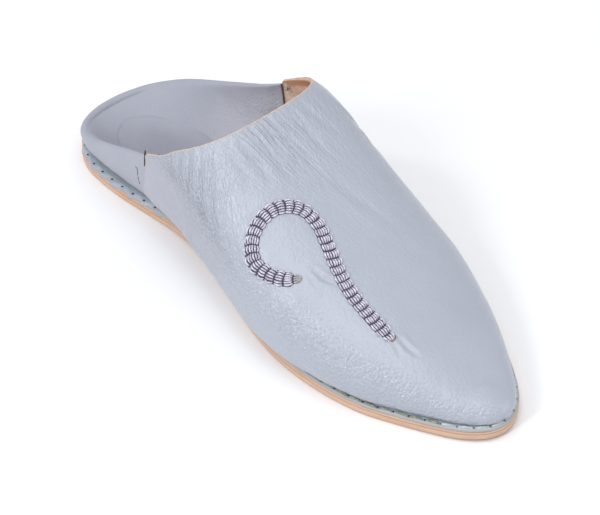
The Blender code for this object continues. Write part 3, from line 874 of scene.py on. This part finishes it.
# Side profile of the sole: from the top's edge round to the bottom's, shares of SOLE_THICK
SOLE_PROFILE = (
    # inset, height
    (0.160, 1.000),
    (0.050, 0.985),
    (0.012, 0.930),
    (0.030, 0.760),
    (0.055, 0.700),
    (0.028, 0.640),
    (0.000, 0.400),
    (0.012, 0.150),
    (0.060, 0.040),
    (0.160, 0.000),
)


def build_outsole(leather):
    v = np.linspace(0, 1, SOLE_COLUMNS + 1)
    rows, heights = [], []
    for side, profile in ((OUTER, SOLE_PROFILE), (INNER, SOLE_PROFILE[::-1])):
        sides = np.full(len(v), side)
        for inset, height in profile:
            x, y = inset_outline(sides, v, inset * SOLE_THICK)
            rows.append(np.stack([x, y, lift(x) + height * SOLE_THICK], -1))
            heights.append(np.full(len(v), height * SOLE_THICK))
    ring = np.stack(rows + rows[:1], 1)
    high = np.stack(heights + heights[:1], 1)
    along = np.cumsum(np.linalg.norm(np.diff(ring, axis=0, prepend=ring[:1]), axis=-1), axis=0)
    sheet = laid_sheet(to_frame(ring), measures=np.stack([along, high], -1))
    sole = finished(sheet, "outsole_slab", "sole_leather", leather)
    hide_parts("outsole")
    return sole


def edge_run():
    """Places all the way round the sole and the distance run to each, outer side first."""
    half = np.linspace(0, 1, 2001)
    side = np.concatenate([np.full(2001, OUTER), np.full(2000, INNER)])
    v = np.concatenate([half, half[-2::-1]])
    x, y = inset_outline(side, v, STITCH_INSET)
    run = np.concatenate([[0], np.cumsum(np.hypot(np.diff(x), np.diff(y)))])
    return side, v, run


def heel_run(v):
    """Distance from the heel along the outline, the same for both sides."""
    fine = np.linspace(0, 1, 2001)
    x = station(fine)
    half = sole_half(np.full(2001, OUTER), fine)
    run = np.concatenate([[0], np.cumsum(np.hypot(np.diff(x), np.diff(half)))])
    return np.interp(v, fine, run)


def welt_inset(v):
    """The hand-cut waves of the welt's edge, which fade towards the toe."""
    fade = np.clip(1 - (station(v) / LENGTH - 0.20) / 0.40, 0.15, 1)
    turn = 2 * np.pi * heel_run(v) / WELT_WAVE_PITCH
    wave = 0.5 + 0.5 * np.cos(turn + 0.8 * np.sin(turn * 0.37))
    return 0.1 * MM - 0.45 * MM * heelward(v) + 0.95 * MM * fade * wave


def heelward(v):
    return np.clip(1 - station(v) / (0.55 * LENGTH), 0, 1)


def welt_droop(v):
    """How far the welt's edge hangs over the sole's, most at the heel."""
    return WELT_DROOP * (1 + 4.0 * heelward(v))


def stitch_holes():
    """Distances of the stitch holes round the sole."""
    run = edge_run()[2]
    count = round(run[-1] / STITCH_PITCH)
    return np.arange(count) * run[-1] / count


def around(run_at):
    """Side and v of the places at these distances round the sole."""
    side, v, run = edge_run()
    k = np.clip(np.searchsorted(run, run_at), 1, len(run) - 1)
    s = (run_at - run[k - 1]) / (run[k] - run[k - 1])
    return side[k], v[k - 1] + (v[k] - v[k - 1]) * s


def build_welt(leather):
    total = edge_run()[2][-1]
    run = np.linspace(0, total, WELT_COLUMNS + 1)
    side, v = around(run)
    edge = welt_inset(v)
    holes = stitch_holes()
    pitch = holes[1]
    near_hole = np.exp(-(((run + pitch / 2) % pitch - pitch / 2) / (1.0 * MM)) ** 2)
    base = SOLE_THICK + FIT_GAP
    shares = np.linspace(0, 1, 15)
    rows = []
    for inset, height in ((edge + 0.35 * MM, 0), (edge, 0.35 * MM), (edge, 1.15 * MM)):
        rows.append((inset, height - welt_droop(v)))
    for share in shares:
        inset = edge + 0.35 * MM + (WELT_REACH - edge) * share**1.6
        groove = np.exp(-(((inset - STITCH_INSET) / (0.8 * MM)) ** 2))
        sink = groove * (0.18 + 0.42 * near_hole) * MM
        wave = 0.10 * MM * np.sin(run / (2.3 * MM) + 9 * share)
        droop = welt_droop(v) * bell(inset - edge, 0, 0.9 * MM)
        rows.append((inset, WELT_THICK - sink - droop - wave * (1 - share)))
    rows.append((WELT_REACH + 0 * v, 0 * v))
    points = []
    for inset, height in rows:
        x, y = inset_outline(side, v, inset)
        points.append(np.stack([x, y, base + lift(x) + height], -1))
    ring = np.stack(points + points[:1], 1)
    along = run[:, None] + 0 * ring[..., 0]
    raw = np.repeat(raw_rows(ring.shape[1]), len(run), 0)
    sheet = laid_sheet(
        to_frame(ring),
        marks={"raw": raw, "fold": 0.3 + 0 * along, "pebble": 0 * along},
        measures=np.stack([along, girth(ring, 0)], -1),
    )
    welt = finished(sheet, "welt_strip", "welt_leather", leather)
    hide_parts("welt")
    return welt


def raw_rows(count):
    """The cut edge shows on the first rows of the welt's section."""
    marks = np.zeros((1, count))
    marks[0, :3] = 1
    marks[0, -1] = 1
    return marks


def build_stitches(green, pale, dark):
    """The row of thread along the welt, its stitches plunging into their holes."""
    holes = stitch_holes()
    total = edge_run()[2][-1]
    pitch = holes[1]
    near, toe, sunk = [], [], []
    for start in holes:
        share = np.linspace(0.04, 0.96, 9)
        run = (start + share * pitch) % total
        side, v = around(run)
        x, y = inset_outline(side, v, STITCH_INSET)
        arch = np.sin(np.pi * np.linspace(0, 1, 9)) ** 0.6
        z = SOLE_THICK + FIT_GAP + WELT_THICK + lift(x) + (arch * 0.75 - 0.85) * MM
        path = to_frame(np.stack([x, y, z], -1))
        at_toe = x.mean() > PALE_FROM
        if x.mean() > STITCHED_FROM:
            (toe if at_toe else near).append(path)
        sunk.append(path[:1] + np.array([0, 0, 0.62 * MM]))
    threads("welt_stitches", green, near, THREAD_WIDTH / 2)
    threads("toe_stitches", pale, toe, THREAD_WIDTH * 0.62)
    stitch_pits(sunk, dark)


def stitch_pits(places, dark):
    """Dark mouths of the stitch holes: discs of painted shade."""
    mesh = bmesh.new()
    for place in places:
        made = bmesh.ops.create_circle(mesh, cap_ends=True, radius=PIT_RADIUS, segments=10)
        bmesh.ops.translate(mesh, verts=made["verts"], vec=Vector(place[0]))
    obj = finished(mesh, "stitch_pits", "welt_leather", dark)
    return obj


def hugging(x, y, height):
    """Points at this height over the vamp, above places given in plan."""
    side, v, t = vamp_place(x, y)
    down_at = skin(side, v, t)
    return down_at + skin_normal(side, v, t) * (VAMP_STEP + height)[..., None]


def cord_line():
    """Middle points of the ornament's band over the leather, and its ways across."""
    x, y = hook_line(CORD_BLOCKS * 8)
    points = hugging(x, y, 0 * x)
    ways = np.gradient(points, axis=0)
    across = np.cross(skin_normal(*vamp_place(x, y)), ways)
    return points, across / np.linalg.norm(across, axis=1, keepdims=True)


def on_band(points, across, at, side, height):
    """Points beside the band's middle line, at this height over the leather."""
    index = np.arange(len(points))
    middle = np.stack([np.interp(at, index, points[:, n]) for n in range(3)], -1)
    way = np.stack([np.interp(at, index, across[:, n]) for n in range(3)], -1)
    place = middle + way * np.asarray(side)[..., None]
    return to_frame(hugging(place[:, 0], place[:, 1], height))


def block_paths(block, points, across, run):
    """The silk bundles of one block of the ornament, laid along the band."""
    wobble = np.random.default_rng(block)
    share = np.linspace(0, 1, CORD_POINTS)
    margin = CORD_GAP / (run / CORD_BLOCKS) * (1 + wobble.normal(0, 0.25))
    at = (block + margin + (1 - 2 * margin) * share) * 8
    narrow = np.ones(CORD_POINTS)
    if block == 0:
        narrow = 0.50 + 0.34 * share**0.6
    if block == CORD_BLOCKS - 2:
        narrow = 1 - 0.22 * share
    if block == CORD_BLOCKS - 1:
        narrow = 0.10 + 0.62 * (1 - share) ** 0.7
    arch = np.sin(np.pi * (0.03 + 0.94 * share)) ** 0.55
    half = (CORD_WIDTH / 2 - CORD_THREAD) * (0.84 + 0.18 * np.sin(np.pi * share)) * narrow
    half *= 1 + wobble.normal(0, 0.03)
    lean = wobble.normal(0, 0.6)
    paths = []
    count = CORD_THREADS - 2 if block in (0, CORD_BLOCKS - 1) else CORD_THREADS
    for n in range(count):
        place = (n + 0.5) / count * 2 - 1
        side = 1.16 * place * half + wobble.normal(0, 0.04 * MM)
        crown = math.sqrt(1 - (0.80 * place) ** 2)
        rise = (CORD_RISE - CORD_THREAD) * crown * (1 + wobble.normal(0, 0.04))
        bow = 1.3 * (place**2 - 0.4) + lean * 0.3 * place
        paths.append(on_band(points, across, at + bow, side, rise * arch - 0.42 * MM * (1 - arch)))
    return paths


def build_embroidery(silk, cream, brown, dark):
    points, across = cord_line()
    run = np.linalg.norm(np.diff(points, axis=0), axis=1).sum()
    body, ends = [], []
    for block in range(CORD_BLOCKS):
        paths = block_paths(block, points, across, run)
        (ends if block == CORD_BLOCKS - 1 else body).extend(paths)
    piece = threads("embroidery_threads", silk, body, CORD_THREAD, 0.6)
    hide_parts("embroidery")
    threads("embroidery_ends", cream, ends, CORD_THREAD, 0.6)
    turn = np.linspace(-0.6, 1.9, 12)
    loop = on_band(points, across, 2.2 - 2.4 * np.sin(turn), -2.3 * MM * np.cos(turn), 0.7 * MM + 0 * turn)
    threads("embroidery_loop", brown, [loop], LOOP_THREAD, 0.6)
    build_bed(points, across, dark)


def build_bed(points, across, dark):
    """A dark sheet under the ornament that shows between the blocks of silk: painted shade in those gaps.
    """
    at = np.arange(4.0, len(points) - 4, 2)
    taper = np.clip(np.minimum(at - 2, len(points) - 3 - at) / 8, 0.3, 1)
    half = 0.93 * CORD_WIDTH / 2 * taper
    rows = []
    for share in np.linspace(-1, 1, 9):
        height = 0.50 * MM * (1 - share**4) + 0.02 * MM
        rows.append(on_band(points, across, at, share * half, height + 0 * at))
    for share in (1, -1):
        rows.append(on_band(points, across, at, share * half, -0.2 * MM + 0 * at))
    mesh = laid_sheet(np.stack(rows + rows[:1], 1))
    bmesh.ops.holes_fill(mesh, edges=[edge for edge in mesh.edges if edge.is_boundary])
    finished(mesh, "embroidery_bed", "silk_thread", dark)


# Finishes

GRAIN_DEPTH = 0.45 * MM

# Two tones of each leather, which mottle it
VAMP_TONES = ((0.380, 0.409, 0.476), (0.360, 0.389, 0.454))
# The quarter's tones are made about a tenth darker than its leather: painted shade on the heel's sides.
SHADED_QUARTER_TONES = ((0.352, 0.364, 0.425), (0.332, 0.346, 0.406))
SOCK_TONES = ((0.315, 0.325, 0.380), (0.285, 0.294, 0.345))
WELT_TONES = ((0.42, 0.46, 0.52), (0.33, 0.37, 0.42))
HEEL_LINING = ((0.370, 0.382, 0.446), (0.340, 0.351, 0.411))
# Lighter tones for the lining's walls: painted light, where the lamps light the walls too little.
PAINTED_LIGHT_LINING = ((0.50, 0.51, 0.575), (0.455, 0.465, 0.525))
SUEDE_TONES = ((0.60, 0.38, 0.28), (0.92, 0.73, 0.63))
CUT_TONES = ((0.50, 0.27, 0.17), (0.68, 0.50, 0.40))
SOLE_TONES = ((0.56, 0.36, 0.25), (0.65, 0.47, 0.36))


def new_material(name):
    material = bpy.data.materials.new(name)
    material.use_nodes = True
    return material, material.node_tree.nodes, material.node_tree.links


def mixed(nodes, links, mask, low, high):
    """A colour that goes from low to high with the mask."""
    mix = nodes.new("ShaderNodeMix")
    mix.data_type = "RGBA"
    for socket, value in ((mix.inputs[6], low), (mix.inputs[7], high)):
        if isinstance(value, tuple):
            socket.default_value = (*value, 1)
        else:
            links.new(value, socket)
    links.new(mask, mix.inputs[0])
    return mix.outputs[2]


def maths(nodes, links, kind, first, second=0.0):
    node = nodes.new("ShaderNodeMath")
    node.operation = kind
    for socket, value in zip(node.inputs, (first, second)):
        if isinstance(value, (int, float)):
            socket.default_value = value
        else:
            links.new(value, socket)
    return node.outputs[0]


def mark_of(nodes, name):
    node = nodes.new("ShaderNodeAttribute")
    node.attribute_name = name
    return node.outputs["Fac"]


def spread(nodes, links, value, low, high, to_low=0.0, to_high=1.0):
    node = nodes.new("ShaderNodeMapRange")
    links.new(value, node.inputs[0])
    for n, number in enumerate((low, high, to_low, to_high), 1):
        node.inputs[n].default_value = number
    return node.outputs[0]


def noise(nodes, links, where, scale, detail=2.0, rough=0.5, warp=0.0):
    node = nodes.new("ShaderNodeTexNoise")
    links.new(where, node.inputs["Vector"])
    node.inputs["Scale"].default_value = scale
    node.inputs["Detail"].default_value = detail
    node.inputs["Roughness"].default_value = rough
    node.inputs["Distortion"].default_value = warp
    return node.outputs["Fac"]


def stretched(nodes, links, where, scale, turn=0.0):
    """Coordinates turned about the sheet's upright, then scaled."""
    turned, scaled = nodes.new("ShaderNodeMapping"), nodes.new("ShaderNodeMapping")
    links.new(where, turned.inputs["Vector"])
    turned.inputs["Rotation"].default_value = (0, 0, turn)
    links.new(turned.outputs[0], scaled.inputs["Vector"])
    scaled.inputs["Scale"].default_value = scale
    return scaled.outputs[0]


def wrinkles(nodes, links, sheet, turn, scale, how_much):
    """Narrow valleys that run one way over the leather and fork."""
    field = noise(nodes, links, stretched(nodes, links, sheet, scale, turn), 1.0, 2, 0.5, 0.45)
    away = maths(nodes, links, "ABSOLUTE", maths(nodes, links, "SUBTRACT", field, 0.5))
    valley = spread(nodes, links, away, 0.0, 0.075, -0.55, 0.0)
    swell = maths(nodes, links, "MULTIPLY", field, 0.9)
    return maths(nodes, links, "MULTIPLY", maths(nodes, links, "ADD", valley, swell), how_much)


def bumped(nodes, links, shader, height, strength, distance):
    bump = nodes.new("ShaderNodeBump")
    bump.inputs["Strength"].default_value = strength
    bump.inputs["Distance"].default_value = distance
    links.new(height, bump.inputs["Height"])
    links.new(bump.outputs[0], shader.inputs["Normal"])


def grain_group():
    """Height of pebbled leather with fine wrinkles: where it is, how strong pebbles and folds are."""
    group = bpy.data.node_groups.new("leather_grain", "ShaderNodeTree")
    for name in ("Place", "Sheet"):
        group.interface.new_socket(name, in_out="INPUT", socket_type="NodeSocketVector")
    for name in ("Pebble", "Fold", "Side", "Throat"):
        group.interface.new_socket(name, in_out="INPUT", socket_type="NodeSocketFloat")
    group.interface.new_socket("Height", in_out="OUTPUT", socket_type="NodeSocketFloat")
    group.interface.new_socket("Mottle", in_out="OUTPUT", socket_type="NodeSocketFloat")
    nodes, links = group.nodes, group.links
    given = nodes.new("NodeGroupInput").outputs
    cells = nodes.new("ShaderNodeTexVoronoi")
    cells.feature = "SMOOTH_F1"
    links.new(given["Place"], cells.inputs["Vector"])
    cells.inputs["Scale"].default_value = 720
    cells.inputs["Smoothness"].default_value = 0.35
    pores = noise(nodes, links, given["Place"], 1500, 2)
    lumps = noise(nodes, links, given["Place"], 330, 3, 0.6)
    fine = maths(nodes, links, "MULTIPLY", cells.outputs["Distance"], -0.45)
    fine = maths(nodes, links, "ADD", fine, maths(nodes, links, "MULTIPLY", pores, 0.35))
    fine = maths(nodes, links, "MULTIPLY", fine, spread(nodes, links, given["Pebble"], 0.2, 1.0, 0.42, 2.6))
    coarse = maths(nodes, links, "MULTIPLY", lumps, maths(nodes, links, "MULTIPLY", given["Pebble"], 0.36))
    folds = wrinkles(nodes, links, given["Sheet"], 0.6, (150, 420, 1), given["Fold"])
    side = wrinkles(nodes, links, given["Sheet"], 1.094, (48, 400, 1), given["Side"])
    throat = wrinkles(nodes, links, given["Sheet"], -0.245, (42, 400, 1), given["Throat"])
    total = maths(nodes, links, "ADD", coarse, fine)
    for fold in (folds, side, throat):
        total = maths(nodes, links, "ADD", total, fold)
    put = nodes.new("NodeGroupOutput").inputs
    links.new(total, put["Height"])
    links.new(noise(nodes, links, given["Place"], 38, 4, 0.6), put["Mottle"])
    return group


def leather_look(nodes, links, grain, tones, roughness, strength, lining=None):
    """Shared finish of the grey-blue leathers."""
    shader = nodes["Principled BSDF"]
    coord = nodes.new("ShaderNodeTexCoord")
    use = nodes.new("ShaderNodeGroup")
    use.node_tree = grain
    links.new(coord.outputs["Object"], use.inputs["Place"])
    sheet = nodes.new("ShaderNodeUVMap")
    sheet.uv_map = "leather"
    links.new(sheet.outputs[0], use.inputs["Sheet"])
    links.new(mark_of(nodes, "pebble"), use.inputs["Pebble"])
    links.new(mark_of(nodes, "fold"), use.inputs["Fold"])
    tone = spread(nodes, links, use.outputs["Mottle"], 0.35, 0.7)
    colour = mixed(nodes, links, tone, *tones)
    if lining:
        inside = mark_of(nodes, "lined")
        worn = mixed(nodes, links, tone, *lining)
        colour = mixed(nodes, links, inside, colour, worn)
        # Painted light: as the mark goes from 1 to 2, the lining's walls take the lighter tones.
        lit = mixed(nodes, links, tone, *PAINTED_LIGHT_LINING)
        colour = mixed(nodes, links, spread(nodes, links, inside, 1, 2), colour, lit)
        rough = spread(nodes, links, inside, 0, 1, roughness, roughness + 0.2)
        links.new(rough, shader.inputs["Roughness"])
    else:
        shader.inputs["Roughness"].default_value = roughness
    bumped(nodes, links, shader, use.outputs["Height"], strength, GRAIN_DEPTH)
    return shader, colour, use


def vamp_leather(grain):
    material, nodes, links = new_material("vamp_leather")
    shader, colour, use = leather_look(nodes, links, grain, VAMP_TONES, 0.36, 1.0)
    links.new(mark_of(nodes, "side_fold"), use.inputs["Side"])
    links.new(mark_of(nodes, "throat_fold"), use.inputs["Throat"])
    # Painted shade: the vamp's outer side is darkened low at the waist.
    colour = mixed(nodes, links, mark_of(nodes, "low_shade_mark"), colour, (0.335, 0.347, 0.410))
    links.new(colour, shader.inputs["Base Color"])
    gloss = spread(nodes, links, mark_of(nodes, "pebble"), 0.2, 1.0, 0.34, 0.20)
    links.new(gloss, shader.inputs["Roughness"])
    shader.inputs["Specular IOR Level"].default_value = 1.0
    return material


def plain_leather(name, grain, tones, roughness, strength, lining=None, cut=None):
    """A leather with a lining's tones where it is lined, and a tone of its own at its cut edges."""
    material, nodes, links = new_material(name)
    shader, colour, _ = leather_look(nodes, links, grain, tones, roughness, strength, lining)
    if cut:
        colour = mixed(nodes, links, mark_of(nodes, "raw"), colour, cut)
    links.new(colour, shader.inputs["Base Color"])
    return material


def suede():
    """The vamp's rough flesh side, tan and mottled."""
    material, nodes, links = new_material("vamp_suede")
    shader = nodes["Principled BSDF"]
    place = nodes.new("ShaderNodeTexCoord").outputs["Object"]
    blotch = noise(nodes, links, place, 120, 4, 0.65, 0.6)
    colour = mixed(nodes, links, spread(nodes, links, blotch, 0.35, 0.65), *SUEDE_TONES)
    rim = spread(nodes, links, mark_of(nodes, "rimward"), 0, 0.35)
    colour = mixed(nodes, links, rim, colour, (0.60, 0.29, 0.16))
    links.new(colour, shader.inputs["Base Color"])
    shader.inputs["Roughness"].default_value = 0.95
    bumped(nodes, links, shader, noise(nodes, links, place, 1400, 3, 0.7), 0.9, 0.3 * MM)
    return material


def raw_edge():
    """The cut edge of the vamp."""
    material, nodes, links = new_material("vamp_cut_edge")
    shader = nodes["Principled BSDF"]
    place = nodes.new("ShaderNodeTexCoord").outputs["Object"]
    blotch = noise(nodes, links, place, 260, 3, 0.6)
    colour = mixed(nodes, links, spread(nodes, links, blotch, 0.35, 0.65), *CUT_TONES)
    links.new(colour, shader.inputs["Base Color"])
    shader.inputs["Roughness"].default_value = 0.9
    return material


def sole_leather():
    """Tan sole leather: streaked edge with a darker line near its top and one at its bottom."""
    material, nodes, links = new_material("sole_leather_look")
    shader = nodes["Principled BSDF"]
    uv = nodes.new("ShaderNodeUVMap")
    uv.uv_map = "leather"
    parts = nodes.new("ShaderNodeSeparateXYZ")
    links.new(uv.outputs[0], parts.inputs[0])
    high = maths(nodes, links, "DIVIDE", parts.outputs[1], SOLE_THICK)
    place = nodes.new("ShaderNodeTexCoord").outputs["Object"]
    streaks = noise(nodes, links, stretched(nodes, links, uv.outputs[0], (60, 900, 1)), 1.0, 3, 0.6, 0.4)
    blotch = noise(nodes, links, place, 70, 4, 0.6)
    colour = mixed(nodes, links, spread(nodes, links, streaks, 0.35, 0.7), *SOLE_TONES)
    colour = mixed(nodes, links, spread(nodes, links, blotch, 0.45, 0.75), colour, (0.60, 0.44, 0.33))
    wander = maths(nodes, links, "ADD", high, maths(nodes, links, "MULTIPLY", blotch, 0.10))
    top_line = maths(nodes, links, "ABSOLUTE", maths(nodes, links, "SUBTRACT", wander, 0.77))
    colour = mixed(nodes, links, spread(nodes, links, top_line, 0.10, 0.03), colour, (0.50, 0.25, 0.14))
    low_line = spread(nodes, links, wander, 0.22, 0.10)
    colour = mixed(nodes, links, low_line, colour, (0.45, 0.24, 0.13))
    links.new(colour, shader.inputs["Base Color"])
    shader.inputs["Roughness"].default_value = 0.62
    bumped(nodes, links, shader, streaks, 0.5, 0.2 * MM)
    return material


def thread_look(name, light, dark, roughness):
    material, nodes, links = new_material(name)
    shader = nodes["Principled BSDF"]
    place = nodes.new("ShaderNodeTexCoord").outputs["Object"]
    strands = noise(nodes, links, place, 900, 3, 0.6)
    colour = mixed(nodes, links, spread(nodes, links, strands, 0.35, 0.65), dark, light)
    links.new(colour, shader.inputs["Base Color"])
    shader.inputs["Roughness"].default_value = roughness
    bumped(nodes, links, shader, strands, 0.6, 0.12 * MM)
    return material


def plain_dark(name, colour):
    material, nodes, links = new_material(name)
    shader = nodes["Principled BSDF"]
    place = nodes.new("ShaderNodeTexCoord").outputs["Object"]
    fluff = noise(nodes, links, place, 800, 2)
    deeper = tuple(c * 0.5 for c in colour)
    links.new(mixed(nodes, links, fluff, colour, deeper), shader.inputs["Base Color"])
    shader.inputs["Roughness"].default_value = 0.8
    return material


# Studio

CAMERA_PLACE = (0.6302, -0.5467, 0.8118)
CAMERA_TARGET = (-0.0026, 0.0067, 0.0)
CAMERA_LENS = 156


def build_camera():
    data = bpy.data.cameras.new("camera")
    data.lens = CAMERA_LENS
    data.sensor_width = 36
    camera = bpy.data.objects.new("camera", data)
    camera.location = CAMERA_PLACE
    way = Vector(CAMERA_TARGET) - Vector(CAMERA_PLACE)
    camera.rotation_euler = way.to_track_quat("-Z", "Y").to_euler()
    bpy.context.scene.collection.objects.link(camera)
    bpy.context.scene.camera = camera


def soft_light(name, azimuth, elevation, away, size, power, target=(0, 0, 0.03)):
    a, e = math.radians(azimuth), math.radians(elevation)
    way = Vector((math.sin(a) * math.cos(e), -math.cos(a) * math.cos(e), math.sin(e)))
    data = bpy.data.lights.new(name, "AREA")
    data.shape = "RECTANGLE"
    data.size, data.size_y = size
    data.energy = power
    light = bpy.data.objects.new(name, data)
    light.location = Vector(target) + way * away
    light.rotation_euler = (-way).to_track_quat("-Z", "Y").to_euler()
    bpy.context.scene.collection.objects.link(light)


def build_studio():
    mesh = bmesh.new()
    bmesh.ops.create_grid(mesh, x_segments=1, y_segments=1, size=4)
    data = bpy.data.meshes.new("floor")
    mesh.to_mesh(data)
    mesh.free()
    material, nodes, _ = new_material("floor_paper")
    nodes["Principled BSDF"].inputs["Base Color"].default_value = (0.92, 0.92, 0.93, 1)
    nodes["Principled BSDF"].inputs["Roughness"].default_value = 0.9
    data.materials.append(material)
    floor = bpy.data.objects.new("floor", data)
    bpy.context.scene.collection.objects.link(floor)
    world = bpy.data.worlds.new("studio")
    world.use_nodes = True
    world.node_tree.nodes["Background"].inputs["Color"].default_value = (0.95, 0.97, 1.0, 1)
    world.node_tree.nodes["Background"].inputs["Strength"].default_value = 0.72
    bpy.context.scene.world = world
    bpy.context.scene.view_settings.view_transform = "Standard"
    soft_light("key", 4, 36, 1.3, (0.14, 0.60), 4.5)
    soft_light("side", -34, 46, 1.3, (0.12, 0.22), 1.9)
    soft_light("top", 40, 80, 1.4, (0.9, 0.9), 5.2)
    soft_light("fill", 130, 35, 1.6, (0.9, 0.9), 3)
    soft_light("low", 78, 12, 1.2, (0.2, 0.15), 0.5)


def main():
    grain = grain_group()
    vamp = vamp_leather(grain)
    cut = raw_edge()
    build_outsole(sole_leather())
    welt = plain_leather("welt_leather_look", grain, WELT_TONES, 0.5, 0.9, cut=(0.42, 0.37, 0.33))
    build_welt(welt)
    build_sock(plain_leather("sock_leather_look", grain, SOCK_TONES, 0.5, 0.6, HEEL_LINING))
    quarter_cut = (0.16, 0.075, 0.055)
    quarter = plain_leather(
        "quarter_leather", grain, SHADED_QUARTER_TONES, 0.46, 0.7, HEEL_LINING, quarter_cut
    )
    build_quarter(quarter)
    bead = thread_look("cut_edge_pale", (0.66, 0.55, 0.49), (0.52, 0.38, 0.30), 0.8)
    build_vamp(vamp, suede(), cut, bead)
    silk = thread_look("silk_lilac", (0.76, 0.74, 0.84), (0.34, 0.32, 0.41), 0.32)
    cream = thread_look("silk_cream", (0.52, 0.50, 0.50), (0.24, 0.22, 0.21), 0.45)
    brown = thread_look("silk_brown", (0.36, 0.25, 0.14), (0.18, 0.12, 0.07), 0.5)
    # Painted shade: near-black for the gaps between the silk blocks and for the stitch holes by the seam.
    dark = plain_dark("shade_dark", (0.065, 0.058, 0.095))
    build_embroidery(silk, cream, brown, dark)
    # Painted shade for the gap behind the outer ear, in dark brown.
    build_seam_marks(plain_dark("gap_shade_brown", (0.075, 0.035, 0.028)), dark)
    build_seam_knot(thread_look("knot_thread", (0.60, 0.55, 0.45), (0.30, 0.26, 0.20), 0.8))
    green = thread_look("waxed_thread", (0.36, 0.38, 0.27), (0.14, 0.16, 0.11), 0.6)
    pale = thread_look("toe_thread", (0.58, 0.62, 0.60), (0.36, 0.40, 0.38), 0.6)
    build_stitches(green, pale, plain_dark("hole_shade", (0.035, 0.075, 0.065)))
    build_camera()
    build_studio()


main()
